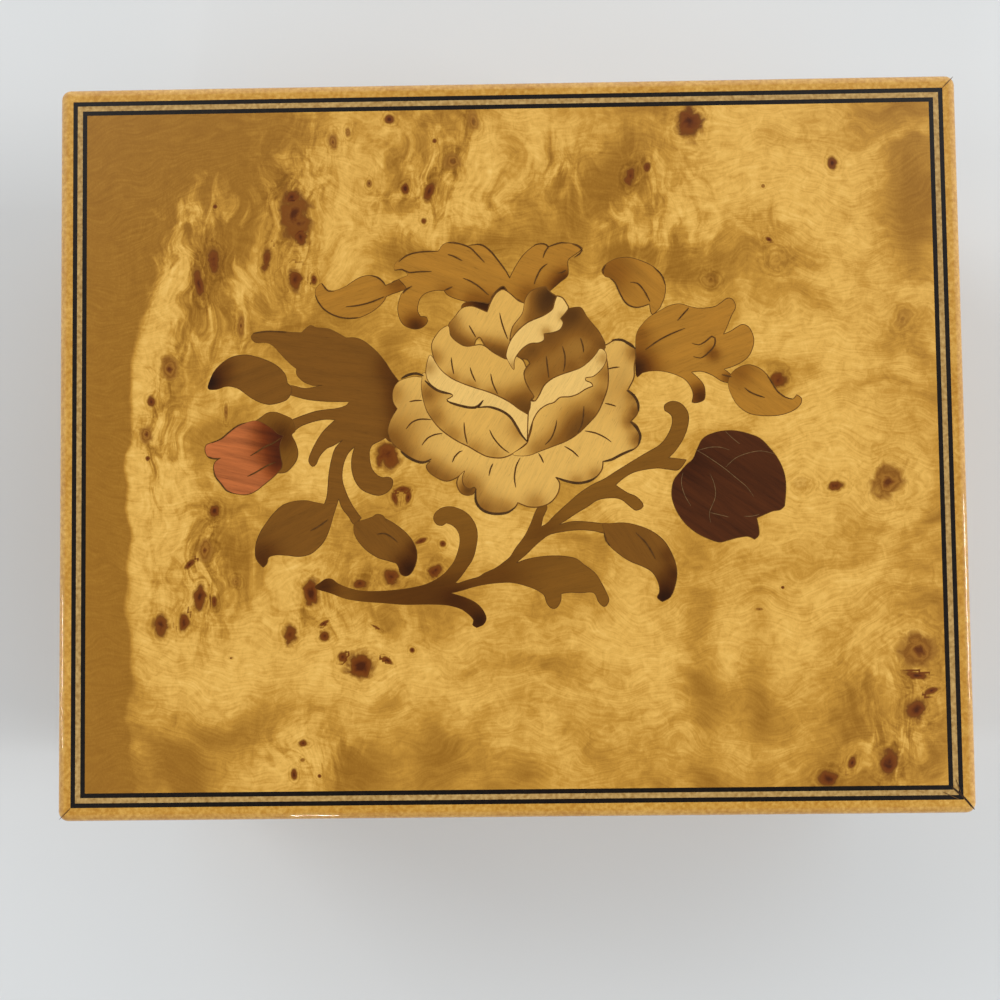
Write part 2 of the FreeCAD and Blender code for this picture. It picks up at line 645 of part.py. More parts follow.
def make_bedplate():
    """The cast bedplate: a plate with a raised comb rail, two windows and its holes."""
    body = new_body("bed_casting", ("0", "0", FLOOR))
    outline = sketch_on(body, "bed_outline")
    draw_outline(outline, [("bed_left+6", "bed_front+5"), ("bar_x+9", "bed_front+5"),
                           ("bar_x+13", "bed_front"),
                           ("bed_right-2", "bed_front"), ("bed_right", "bed_front+2"),
                           ("bed_right", "bed_back-2"),
                           ("bed_right-2", "bed_back"), ("bed_left+4", "bed_back"),
                           ("bed_left", "bed_back-4"),
                           ("bed_left", "bed_front+11")])
    pad(body, outline, "bed_thickness")
    rail = sketch_on(body, "comb_rail")
    x0, x1 = "bar_x+barrel_start-1", "bar_x+barrel_start+barrel_length+1"
    draw_outline(rail, [(x0, "bed_front+1"), (x1, "bed_front+1"), (x1, "bed_front+5.5"),
                        (x0, "bed_front+5.5")])
    pad(body, rail, f"{COMB_UNDER}-({FLOOR})")
    windows = sketch_on(body, "bed_windows")
    for x0, x1 in (("bar_x+barrel_start-0.4", "bar_x+barrel_start+barrel_length+0.4"),
                   ("bar_x+34.9", "bar_x+37.3")):
        draw_outline(windows, [(x0, "bar_y-5"), (x1, "bar_y-5"), (x1, "bar_y+5"), (x0, "bar_y+5")])
    draw_circle(windows, ("bar_x", "bar_y"), "bar_radius+running_gap")
    pocket(body, windows, "bed_thickness", reverse=True)
    threads = sketch_on(body, "bed_threads")
    for x, y in BED_SCREWS:
        draw_circle(threads, (x, y), "1.42")
    pocket(body, threads, "bed_thickness", reverse=True)
    holes = [rod(f"comb_thread_{n}", (x, "bed_front+3.2", BED_TOP), "1.02", "8")
             for n, x in enumerate(COMB_SCREWS)]
    holes += [rod(f"foot_thread_{n}", (x, y, FLOOR), "0.82", "bed_thickness")
              for n, (x, y) in enumerate(FOOT_SCREWS)]
    keep(cut("bedplate", body, *holes))
    screws = []
    for n, (x, y) in enumerate(BED_SCREWS):
        head = rod(f"bed_head_{n}", (x, y, "panel_bottom-1.4"), "2.8", "1.4")
        shank = rod(f"bed_shank_{n}", (x, y, "panel_bottom-0.2"), "1.4", "panel_thickness+2.4")
        screws.append(fuse(f"bed_screw_{n}", head, shank))
    keep(together("bedplate_screws", *screws))


COMB_TOP = "(shaft_height+0.9)"
COMB_UNDER = f"({COMB_TOP}-2.2)"
COMB_SCREWS = ("bar_x+18.5", "bar_x+28.3")
# where the small screws go down into the bedplate: housing ears, bearings, governor and stop guide
FOOT_SCREWS = (("bar_x-9", "bar_y-9"), ("bar_x-9", "bar_y+9"), ("bar_x+9", "bar_y-9"),
               ("bar_x+14.6", "bar_y-4.2"), ("bar_x+33.5", "bar_y-4.2"), ("bar_x+35.9", "bed_back-2.6"))


def make_spring_housing():
    """The fixed cup that holds the mainspring, its cover and the mainspring."""
    body = new_body("housing_cup", ("bar_x", "bar_y", BED_TOP))
    profile = sketch_on(body, "housing_profile", "XZ_Plane")
    wide, tall, wall = "housing_radius", "housing_height", "housing_wall"
    draw_outline(profile, [("bar_radius+0.6", "0"), (wide, "0"), (wide, tall), (f"{wide}-{wall}", tall),
                           (f"{wide}-{wall}", wall), ("bar_radius+0.6", wall)])
    turned = body.newObject("PartDesign::Revolution", "housing_turned")
    turned.Profile = profile
    turned.ReferenceAxis = (profile, ["V_Axis"])
    turned.Angle = 360
    ears, drills = [], []
    for n, (x, y) in enumerate(FOOT_SCREWS[:3]):
        ears.append(rod(f"ear_{n}", (x, y, BED_TOP), "2.3", "0.8"))
        drills.append(rod(f"ear_hole_{n}", (x, y, BED_TOP), "0.84", "0.8"))
    well = rod("housing_well", ("bar_x", "bar_y", f"{BED_TOP}+housing_wall"), "housing_radius-housing_wall",
               "housing_height")
    keep(cut("spring_housing", fuse("housing_with_ears", body, *ears), well, *drills))
    top = f"{BED_TOP}+housing_height"
    lid = rod("cover_disc", ("bar_x", "bar_y", top), "housing_radius", "0.7")
    keep(cut("spring_cover", lid, rod("cover_bore", ("bar_x", "bar_y", top), "bar_radius+0.1", "0.7")))
    strip = spiral_strip(2.6, size_of("housing_radius-housing_wall") - 0.4, int(size_of("spring_turns")),
                         size_of("spring_strip"), size_of("housing_height-housing_wall") - 1.2)
    keep(feature("mainspring", strip, Vector(BAR_X, BAR_Y, BED_Z + size_of("housing_wall"))))


def make_bearings():
    bearings = []
    for label, x in (("left_bearing", "bar_x+14"), ("right_bearing", "bar_x+32.9")):
        post = block(label + "_post", (x, "bar_y-2.4", BED_TOP), ("1.2", "4.8", "9"))
        foot = block(label + "_foot", (x, "bar_y-6", BED_TOP), ("1.2", "4", "1"))
        bore = rod(label + "_bore", (f"{x}-1", "bar_y", "shaft_height"), "shaft_radius+running_gap", "4", "x")
        bearings.append(cut(label, fuse(label + "_whole", post, foot), bore))
    keep(together("cylinder_bearings", *bearings))


def make_comb():
    """The steel comb: a thick root and graduated teeth that end just clear of the pins."""
    reach = "(barrel_radius+pin_length+0.05)"
    x0, x1 = "bar_x+barrel_start-1", "bar_x+barrel_start+barrel_length+1"
    tooth0 = "bar_x+barrel_start+0.2"
    tooth1 = "bar_x+barrel_start+0.2+notes*note_pitch"
    body = new_body("comb_blank", ("0", "0", f"{COMB_TOP}-1"))
    blank = sketch_on(body, "comb_outline")
    draw_outline(blank, [(x0, "bed_front+1"), (x1, "bed_front+1"), (x1, "bed_front+9"),
                         (tooth1, "bed_front+9"),
                         (tooth1, f"bar_y-{reach}"), (tooth0, f"bar_y-{reach}"), (tooth0, "bed_front+6"),
                         (x0, "bed_front+6")])
    pad(body, blank, "1")
    root = sketch_on(body, "comb_root")
    draw_outline(root, [(x0, "bed_front+1"), (x1, "bed_front+1"), (x1, "bed_front+5.5"),
                        (x0, "bed_front+5.5")])
    pad(body, root, "1.2", reverse=True)
    doc.recompute()
    slots = []
    for n in range(1, int(size_of("notes"))):
        back = f"bed_front+6.2+{n}*0.16"
        slots.append(block(f"comb_slot_{n}", (f"{tooth0}+{n}*note_pitch-0.09", back, f"{COMB_TOP}-2"),
                           ("0.18", f"bar_y-{reach}-({back})+1", "4")))
    drills = [rod(f"comb_hole_{n}", (x, "bed_front+3.2", COMB_UNDER), "1.05", "3")
              for n, x in enumerate(COMB_SCREWS)]
    keep(cut("comb", body, *slots, *drills))


def make_movement_screws():
    """The screws of the comb, the housing's ears, the governor frame and the stop guide."""
    screws = []
    for n, x in enumerate(COMB_SCREWS):
        head = rod(f"comb_screw_head_{n}", (x, "bed_front+3.2", COMB_TOP), "1.9", "1.2")
        shank = rod(f"comb_screw_shank_{n}", (x, "bed_front+3.2", f"{COMB_TOP}-5"), "1", "5.2")
        slot = block(f"comb_screw_slot_{n}", (f"{x}-2", "bed_front+3", f"{COMB_TOP}+0.7"), ("4", "0.4", "1"))
        screws.append(cut(f"comb_screw_{n}", fuse(f"comb_screw_body_{n}", head, shank), slot))
    for n, (x, y) in enumerate(FOOT_SCREWS[:3]):
        head = rod(f"ear_screw_head_{n}", (x, y, f"{BED_TOP}+0.8"), "1.5", "0.9")
        shank = rod(f"ear_screw_shank_{n}", (x, y, f"{BED_TOP}-2"), "0.8", "3")
        slot = block(f"ear_screw_slot_{n}", (f"{x}-2", f"{y}-0.2", f"{BED_TOP}+1.3"), ("4", "0.4", "1"))
        screws.append(cut(f"ear_screw_{n}", fuse(f"ear_screw_body_{n}", head, shank), slot))
    x, y = FOOT_SCREWS[5]
    head = rod("frame_screw_head", (x, y, f"{BED_TOP}+1.2"), "1.4", "0.9")
    shank = rod("frame_screw_shank", (x, y, f"{BED_TOP}-2"), "0.8", "3.4")
    screws.append(fuse("frame_screw", head, shank))
    keep(together("movement_screws", *screws))


def make_governor_frame():
    """The bent bracket that carries the governor's two axes."""
    x_left, x_right = f"{BAR_X + 31.6:.2f}", f"{BAR_X + 37.8:.2f}"
    y_front = f"{GOVERNOR_Y - 1.9:.3f}"
    base = block("governor_base", (x_left, y_front, BED_TOP), ("7.2", f"bed_back-1-({y_front})", "1.2"))
    near = block("governor_near", (x_left, y_front, BED_TOP), ("0.8", "4.4", "11.8"))
    far = block("governor_far", (x_right, y_front, BED_TOP), ("1", f"bed_back-1-({y_front})", "19.8"))
    arm = block("governor_arm", (f"{WORM_X - 1.8:.3f}", f"{WORM_Y_VALUE - 1.8:.3f}", f"{BED_TOP}+18.8"),
                (f"{BAR_X + 38.8 - WORM_X + 1.8:.3f}", "3.6", "1"))
    gear_bore = rod("governor_gear_bore", (f"{BAR_X + 31:.2f}", f"{GOVERNOR_Y:.4f}", f"{GOVERNOR_Z:.4f}"),
                    "0.54", "9", "x")
    worm_bore = rod("governor_worm_bore", (f"{WORM_X:.4f}", WORM_Y, f"{BED_TOP}+0.3"), "0.54", "20")
    screw = rod("governor_screw_hole", (*FOOT_SCREWS[5], BED_TOP), "0.84", "1.2")
    whole = fuse("governor_whole", base, near, far, arm)
    keep(cut("governor_frame", whole, gear_bore, worm_bore, screw))


def make_stop_guide():
    tube = rod("guide_tube", ("stop_x", WORM_Y, BED_TOP), "2", "12.5")
    flange = rod("guide_flange", ("stop_x", WORM_Y, BED_TOP), "3.2", "1")
    bore = rod("guide_bore", ("stop_x", WORM_Y, BED_TOP), "stop_wire+0.05", "12.5")
    keep(cut("stop_guide", fuse("guide_whole", tube, flange), bore))
    top = BED_Z + 12.5
    spring = coil(1.25, 0.2, 0.58, 1.45)
    keep(feature("stop_spring", spring, Vector(size_of("stop_x"), WORM_Y_VALUE, top + 0.2)))


# ---------------------------------------------------------------- movement, moving pieces


def make_great_wheel():
    at = Vector(BAR_X, BAR_Y, CROWN_ROOT)
    keep(feature("great_wheel", crown_wheel(), at))
    top = CROWN_ROOT + WHEEL_THICKNESS
    pivot = Vector(*CLICK_PIVOT, 0)
    outline = [pivot + Vector(0, -1.1, 0), Vector(-1.24, 4.62, 0), Vector(-0.9, 4.78, 0),
               Vector(-1.7, 5.6, 0),
               pivot + Vector(0, 1.1, 0)]
    arm = Part.Face(Part.makePolygon(outline + outline[:1])).extrude(Vector(0, 0, 0.9))
    click = arm.fuse([Part.makeCylinder(1.1, 0.9, pivot), Part.makeCylinder(0.7, 1.5, pivot)])
    keep(feature("click", click.removeSplitter(), Vector(BAR_X, BAR_Y, top + 0.1)))


def make_winding_bar():
    """The winding arbor, the ratchet on its top end and the key on its lower end."""
    low = size_of("panel_bottom") - 1.6
    high = CROWN_ROOT + WHEEL_THICKNESS + 2.0
    bar = Part.makeCylinder(size_of("bar_radius"), high - low)
    keep(feature("winding_arbor", bar, Vector(BAR_X, BAR_Y, low)))
    keep(feature("ratchet_wheel", ratchet(4.6, 0.9, 14, 1.1), Vector(BAR_X, BAR_Y, high - 1.8)))
    body = new_body("key_blade", ("bar_x", "bar_y", "2"))
    blade = sketch_on(body, "key_outline", "XZ_Plane")
    wide, tall = "key_width/2", "key_height"
    draw_outline(blade, [(f"-{wide}", "0.8"), (f"-{wide}+0.8", "0"), (f"{wide}-0.8", "0"), (wide, "0.8"),
                         (wide, f"{tall}-1.6"), (f"{wide}-1.6", tall), ("3.4", tall), ("2.4", f"{tall}-1"),
                         ("-2.4", f"{tall}-1"), ("-3.4", tall), (f"-{wide}+1.6", tall),
                         (f"-{wide}", f"{tall}-1.6")])
    swept = pad(body, blade, "key_thickness")
    swept.Midplane = True
    windows = sketch_on(body, "key_windows", "XZ_Plane")
    for side in (-1, 1):
        draw_circle(windows, (f"{side}*key_width*0.32", f"{tall}/2"), "1.7")
    doc.recompute()
    before = body.Shape.Volume
    piercing = body.newObject("PartDesign::Pocket", "key_piercing")
    piercing.Profile = windows
    piercing.Type = "ThroughAll"
    piercing.Midplane = True
    doc.recompute()
    if body.Shape.Volume > before - 1e-6:
        raise RuntimeError("the key's windows cut nothing")
    hub = rod("key_hub", ("bar_x", "bar_y", "2.4"), "2.9", "panel_bottom-2.4-0.5")
    socket = rod("key_socket", ("bar_x", "bar_y", "panel_bottom-1.6"), "bar_radius", "3")
    keep(cut("winding_key", fuse("key_whole", body, hub), socket))


def make_cylinder():
    """The pinned cylinder, with its shaft, its pinion and its governor wheel."""
    start, long, radius = (size_of(name) for name in ("barrel_start", "barrel_length", "barrel_radius"))
    shaft = size_of("shaft_radius")
    barrel = Part.makeCylinder(radius, long)
    hollow = Part.makeCylinder(radius - 0.9, long - 1.6, Vector(0, 0, 0.8))
    barrel = barrel.cut(hollow).cut(Part.makeCylinder(shaft, long + 2, Vector(0, 0, -1)))
    keep(feature("pinned_cylinder", along_x(barrel, 0, 0, 0), Vector()))
    parts[-1].Placement = Placement(Vector(BAR_X + start, BAR_Y, SHAFT_Z), TURNED["x"])
    pins = []
    notes, pitch = int(size_of("notes")), size_of("note_pitch")
    for n in range(6 * notes):
        track, angle = (n * 7) % notes, 360 * n / (6 * notes) + 3 * (n % 3)
        pin = Part.makeCylinder(size_of("pin_radius"), size_of("pin_length"),
                                Vector(radius, 0, 0.2 + (track + 0.5) * pitch), Vector(1, 0, 0))
        pin.rotate(Vector(), Vector(0, 0, 1), angle)
        pins.append(pin)
    keep(feature("cylinder_pins", Part.makeCompound(pins)))
    parts[-1].Placement = Placement(Vector(BAR_X + start, BAR_Y, SHAFT_Z), TURNED["x"])
    keep(rod("cylinder_shaft", ("bar_x+crown_inner-0.3", "bar_y", "shaft_height"), "shaft_radius", "25.7",
             "x"))
    wide = size_of("crown_outer-crown_inner")
    module = 2 * PINION_RADIUS / size_of("pinion_teeth")
    keep(feature("cylinder_pinion",
                 spur_gear(int(size_of("pinion_teeth")), module * 0.985, wide, shaft, 0.38, 15)))
    parts[-1].Placement = Placement(Vector(BAR_X + size_of("crown_inner"), BAR_Y, SHAFT_Z), TURNED["x"])
    wheel = spur_gear(int(size_of("wheel_teeth")), FINE, 1.4, shaft, 0.42)
    keep(feature("cylinder_wheel", spoked(wheel, 1.9, 5.7, 1.4, 5)))
    parts[-1].Placement = Placement(Vector(BAR_X + 35.4, BAR_Y, SHAFT_Z), TURNED["x"])


def make_governor():
    """The governor's gear and its worm with the air brake."""
    shaft = Part.makeCylinder(0.5, 7.6, Vector(0, 0, -3.8))
    pinion = toothed_face(int(size_of("governor_teeth")), FINE, 0.42, 18).extrude(Vector(0, 0, 1.8))
    keep(feature("governor_pinion", shaft.fuse(pinion).removeSplitter()))
    parts[-1].Placement = Placement(Vector(BAR_X + 35.2, GOVERNOR_Y, GOVERNOR_Z), TURNED["x"])
    teeth = int(size_of("worm_wheel_teeth"))
    keep(feature("worm_wheel", spoked(spur_gear(teeth, FINE, 1.4, 0.5, 0.36), 1.1, 3.3, 1.4, 4)))
    parts[-1].Placement = Placement(Vector(BAR_X + 33.2, GOVERNOR_Y, GOVERNOR_Z), TURNED["x"])
    pitch, turns = math.pi * FINE, size_of("worm_turns")
    radius = size_of("worm_radius")
    core = radius - FINE * 1.1
    low = GOVERNOR_Z - 3.25 * pitch
    thread = worm(pitch, radius, turns, core)
    stem = Part.makeCylinder(core, pitch * (turns + 1), Vector(0, 0, -pitch / 2))
    foot = BED_Z + 0.5
    spindle = Part.makeCylinder(0.5, BED_Z + 19.4 - foot, Vector(0, 0, foot - low))
    keep(feature("worm", thread.fuse([stem, spindle]).removeSplitter(), Vector(WORM_X, WORM_Y_VALUE, low)))
    fan_low = GOVERNOR_Z + 3.6 * pitch + 1.6
    fan, tall = size_of("fan_radius"), size_of("fan_height")
    blade = Part.makeBox(2 * fan, 0.4, tall, Vector(-fan, -0.2, 0))
    hub = Part.makeCylinder(1.1, tall + 0.4, Vector(0, 0, -0.2))
    air_brake = blade.fuse(hub).cut(Part.makeCylinder(0.5, 10, Vector(0, 0, -3)))
    keep(feature("air_brake", air_brake.removeSplitter(), Vector(WORM_X, WORM_Y_VALUE, fan_low)))


def make_stop_pin():
    """The wire that the shut lid holds down, with a finger beside the air brake."""
    reach = f"{WORM_X - size_of('fan_radius') - 0.35:.3f}-stop_x"
    wire = rod("stop_stem", ("stop_x", WORM_Y, f"{BED_TOP}+5"), "stop_wire", f"block_foot-0.2-({BED_TOP}+5)")
    collar = rod("stop_collar", ("stop_x", WORM_Y, f"{BED_TOP}+14.6"), "1.5", "0.8")
    finger = rod("stop_finger", ("stop_x", WORM_Y, f"{BED_TOP}+15.9"), "0.55", reach, "x")
    keep(fuse("stop_pin", wire, collar, finger))


# ---------------------------------------------------------------- build, check and write


def check_and_write():
    doc.recompute()
    for item in doc.Objects:
        if "Invalid" in item.State or "Error" in item.State:
            raise RuntimeError(f"{item.Label} failed: {item.State}")
    os.makedirs("parts", exist_ok=True)
    for old in os.listdir("parts"):
        os.remove(os.path.join("parts", old))
    for piece in parts:
        shape = piece.Shape
        if shape.isNull() or not shape.isValid() or not shape.Solids:
            raise RuntimeError(f"{piece.Label} has no valid solid")
        shape.exportStep(f"parts/{piece.Label}.step")
        print(f"{piece.Label:22s} {len(shape.Solids):4d} solids {shape.Volume:10.2f} mm3")
    print(len(parts), "sub-parts")


make_case_boards()
make_bottom()
make_partitions()
make_trays()
make_movement_cover()
make_lid_frame()
make_lid_top()
make_lid_inside()
make_hinges()
make_bedplate()
make_spring_housing()
make_bearings()
make_comb()
make_governor_frame()
make_stop_guide()
make_movement_screws()
make_great_wheel()
make_winding_bar()
make_cylinder()
make_governor()
make_stop_pin()
check_and_write()
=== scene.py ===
"""The looks of the wind-up music box: a lacquered burr lid with an inlaid rose, and the lined inside."""

import math

import bpy
import numpy as np
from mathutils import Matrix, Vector
from mathutils.geometry import delaunay_2d_cdt


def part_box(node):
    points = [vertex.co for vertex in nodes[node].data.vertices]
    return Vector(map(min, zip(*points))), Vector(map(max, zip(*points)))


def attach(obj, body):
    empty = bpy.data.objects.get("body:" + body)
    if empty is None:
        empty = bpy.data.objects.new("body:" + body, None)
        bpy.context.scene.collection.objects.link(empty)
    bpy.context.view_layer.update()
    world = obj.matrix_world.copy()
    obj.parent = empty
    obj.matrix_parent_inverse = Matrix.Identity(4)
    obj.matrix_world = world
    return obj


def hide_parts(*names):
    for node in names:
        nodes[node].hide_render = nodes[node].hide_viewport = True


MM = 0.001
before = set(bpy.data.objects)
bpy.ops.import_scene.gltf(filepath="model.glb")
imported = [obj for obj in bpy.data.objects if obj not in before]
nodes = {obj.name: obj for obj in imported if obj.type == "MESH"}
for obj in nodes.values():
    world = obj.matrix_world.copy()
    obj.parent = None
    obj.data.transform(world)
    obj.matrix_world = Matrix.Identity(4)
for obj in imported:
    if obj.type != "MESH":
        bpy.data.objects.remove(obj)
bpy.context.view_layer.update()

TOP = 62.0  # height of the lid's face, in millimetres
SHEET_X, SHEET_Y = 70.25, 56.25  # half sizes of the burr sheet
GRID_X, GRID_Y = 353, 283  # points along its sides, 0.4 mm apart


# ---------------------------------------------------------------- shader helpers


def rgb(red, green, blue):
    """A colour as seen on a screen, 0 to 255, as the linear values that Blender takes."""
    values = [c / 255 for c in (red, green, blue)]
    return tuple(c / 12.92 if c <= 0.04045 else ((c + 0.055) / 1.055) ** 2.4 for c in values) + (1.0,)


class Nodes:
    """Short calls that build a node tree. Lengths in patterns are in millimetres."""

    def __init__(self, tree):
        self.tree = tree

    def node(self, kind, inputs, output=0, **settings):
        made = self.tree.nodes.new(kind)
        for key, value in settings.items():
            setattr(made, key, value)
        for key, value in inputs.items():
            if isinstance(value, bpy.types.NodeSocket):
                self.tree.links.new(value, made.inputs[key])
            else:
                made.inputs[key].default_value = value
        return made.outputs[output]

    def place(self):
        """The piece's own coordinates, in millimetres."""
        return self.scaled(self.node("ShaderNodeTexCoord", {}, "Object"), (1000, 1000, 1000))

    def attribute(self, name, output="Fac"):
        return self.node("ShaderNodeAttribute", {}, output, attribute_name=name)

    def scaled(self, vector, by):
        return self.node("ShaderNodeVectorMath", {0: vector, 1: by}, operation="MULTIPLY")

    def shifted(self, vector, by):
        return self.node("ShaderNodeVectorMath", {0: vector, 1: by}, operation="ADD")

    def noise(self, vector, scale=1.0, detail=4.0, rough=0.5, distortion=0.0, output="Fac"):
        return self.node("ShaderNodeTexNoise", {"Vector": vector, "Scale": scale, "Detail": detail,
                                                "Roughness": rough, "Distortion": distortion}, output)

    def times(self, vector, by):
        return self.node("ShaderNodeVectorMath", {0: vector, "Scale": by}, operation="SCALE")

    def cells(self, vector, scale):
        return self.node("ShaderNodeTexVoronoi", {"Vector": vector, "Scale": scale}, "Distance")

    def maths(self, operation, a, b=0.0):
        return self.node("ShaderNodeMath", {0: a, 1: b}, operation=operation)

    def total(self, *terms):
        """The sum of plain values and of (value, weight) pairs."""
        result = 0.0
        for term in terms:
            if isinstance(term, tuple):
                term = self.maths("MULTIPLY", *term)
            result = self.maths("ADD", result, term)
        return result

    def span(self, value, low, high, to_low=0.0, to_high=1.0):
        """value taken from the range low to high onto another, smoothly and held at its ends."""
        return self.node("ShaderNodeMapRange", {"Value": value, "From Min": low, "From Max": high,
                                                "To Min": to_low, "To Max": to_high},
                         interpolation_type="SMOOTHSTEP")

    def ramp(self, value, *stops):
        """Colours at places along 0 to 1."""
        made = self.tree.nodes.new("ShaderNodeValToRGB")
        elements = made.color_ramp.elements
        while len(elements) < len(stops):
            elements.new(0.5)
        for element, (place, colour) in zip(elements, stops):
            element.position = place
            element.color = rgb(*colour)
        self.tree.links.new(value, made.inputs["Fac"])
        return made.outputs["Color"]

    def mix(self, share, a, b, blend="MIX"):
        made = self.tree.nodes.new("ShaderNodeMix")
        made.data_type = "RGBA"
        made.blend_type = blend
        for socket, value in ((made.inputs["Factor"], share), (made.inputs[6], a), (made.inputs[7], b)):
            if isinstance(value, bpy.types.NodeSocket):
                self.tree.links.new(value, socket)
            else:
                socket.default_value = value
        return made.outputs[2]


class Shader(Nodes):
    """A new material with its surface and its nodes."""

    def __init__(self, name, roughness=0.45, coat=0.0, metallic=0.0, specular=0.5, sheen=0.0):
        self.material = bpy.data.materials.new(name)
        self.material.use_nodes = True
        super().__init__(self.material.node_tree)
        self.surface = self.tree.nodes["Principled BSDF"]
        self.set("Roughness", roughness)
        self.set("Coat Weight", coat)
        self.set("Coat Roughness", 0.03)
        self.set("Metallic", metallic)
        self.set("Specular IOR Level", specular)
        self.set("Sheen Weight", sheen)

    def set(self, socket, value):
        self.surface.inputs[socket].default_value = value

    def link(self, output, socket):
        self.tree.links.new(output, self.surface.inputs[socket])

    def tinted(self, dark, light, scale, detail):
        """Gives the surface a colour that drifts in soft clouds between two."""
        cloud = self.noise(self.place(), scale, detail=detail)
        self.link(self.ramp(cloud, (0.3, dark), (0.7, light)), "Base Color")

    def bump(self, height, strength, distance):
        bumped = self.node("ShaderNodeBump", {"Height": height, "Strength": strength, "Distance": distance})
        self.link(bumped, "Normal")


# ---------------------------------------------------------------- the burr's figure


# The burr's eyes, as "x y half-width half-height turn kind" in millimetres and degrees. Kind 1 is a dark,
# solid eye, 0.5 one with paler rings, and 0 only a faint swirl in the grain.
EYES = (
    "-19.5 54.8 .8 .8 0 .7, -29 51.2 .8 1.4 10 .6, -26.5 52.8 .5 .9 0 .5, -23 44 .4 .6 0 .6, "
    "-12 51 .4 .4 0 .7, -5.5 54.2 .9 1.7 0 .4, -9 47.5 1.4 1.3 0 .4, -17 43 .6 .9 0 .8, "
    "-13 42.5 .8 1.8 -20 .8, -14 37.5 .5 .6 0 .7, -35.4 38.6 2.5 4.6 5 .68, -34.5 35.2 1 1.5 10 .95, "
    "-35.9 42 1.1 1.2 0 .9, -49 31.5 1 1.9 10 .9, -51.5 27.5 .8 2.6 10 .8, -40.2 31.5 .8 1.9 -10 .85, "
    "-35.5 28 1.3 1.9 0 1, -32.3 28 .5 .9 0 .9, -48.8 40.5 .35 .35 0 .8, -44.5 20.5 .6 1.9 0 .5, "
    "-56.5 13.5 1.4 2.1 0 .6, -59.5 7.8 .7 1 0 .9, -60.2 2.5 1 1.4 10 .6, -60 -1.5 .4 .4 0 .8, "
    "-49 -10.2 .9 1.1 0 .8, -50.5 -16.8 1.3 1.7 0 .6, -53 -19 1.2 .5 40 .9, -45.5 -22 .7 .7 0 .3, "
    "-51.5 -24.5 1.1 2.1 -10 .9, -49 -25.3 .5 1 0 1, -57.8 -29 1.2 1.9 0 .7, -54 -28.5 .8 1.5 0 .9, "
    "-33 -24 1.4 2.1 0 .9, -25 -22.5 1.3 .9 10 .9, -19.7 -21.5 1.5 1.3 -40 .9, -12.5 -20.5 1.3 1.1 30 .9, "
    "-15 -15.8 1 .4 20 .9, -11.3 -16.2 .5 .5 0 .9, -20.3 -1.5 2.1 2.3 0 .85, -19.2 -8.6 .5 1.2 15 .9, "
    "-18 -7.2 1.2 .5 0 .9, -16.9 -8.5 .5 1.1 -15 .9, -36.5 -30.8 1.1 1.5 0 .9, -30.8 -31 .9 .9 0 1, "
    "-31 -29 .8 .3 30 .9, -25 -36 2.4 2.2 0 1, -28 -34.5 .8 .9 0 .8, -20.5 -35.2 1 .4 -40 .9, "
    "-16.5 -33.5 .4 .4 0 .9, -22.3 -29.8 .9 .2 -30 .8, -34.5 -48.5 .8 .6 0 .8, -36 -53.5 .5 .8 0 .8, "
    "-31.8 -53.8 .3 .3 0 .8, -34.6 -51.2 .4 .3 0 .6, 30.5 53.5 2.1 2.9 5 .9, 20.5 44.5 .9 1.5 -15 .95, "
    "23.3 46 .7 1.1 -10 .8, 54 46.2 .7 1.2 0 1, 44.5 30 1.7 1.5 0 .1, 33.5 27 1 1 0 .2, "
    "65 20 1.1 1.5 -20 .25, 44.2 10 1.3 1.5 -20 .75, 61.8 -6.8 2.4 3 -30 .6, 53.2 -7.5 1.2 .9 10 .75, "
    "47.5 -7 1.2 1 0 .15, 66 -34.5 2.9 2.9 0 .62, 66 -34.3 1.1 .9 20 .95, 65.5 -38.5 1.9 .6 -10 .9, "
    "68 -41 1.1 .5 20 .9, 65.5 -44 1.7 1.7 0 .9, 60.8 -52.5 1.5 2.3 -15 .9, 54.8 -52.5 .6 1.1 -20 .9, "
    "51 -55 1.6 1.3 0 .95, 43.3 33.5 .5 .3 -30 .9, 44.2 -24 .3 .25 0 .8, 40.3 -27.5 .5 .2 0 .5, "
    "-46.2 -34.5 .3 .2 0 .7, 42.5 42.5 .3 .3 0 .6, -47 6 .3 1.2 0 .5"
)
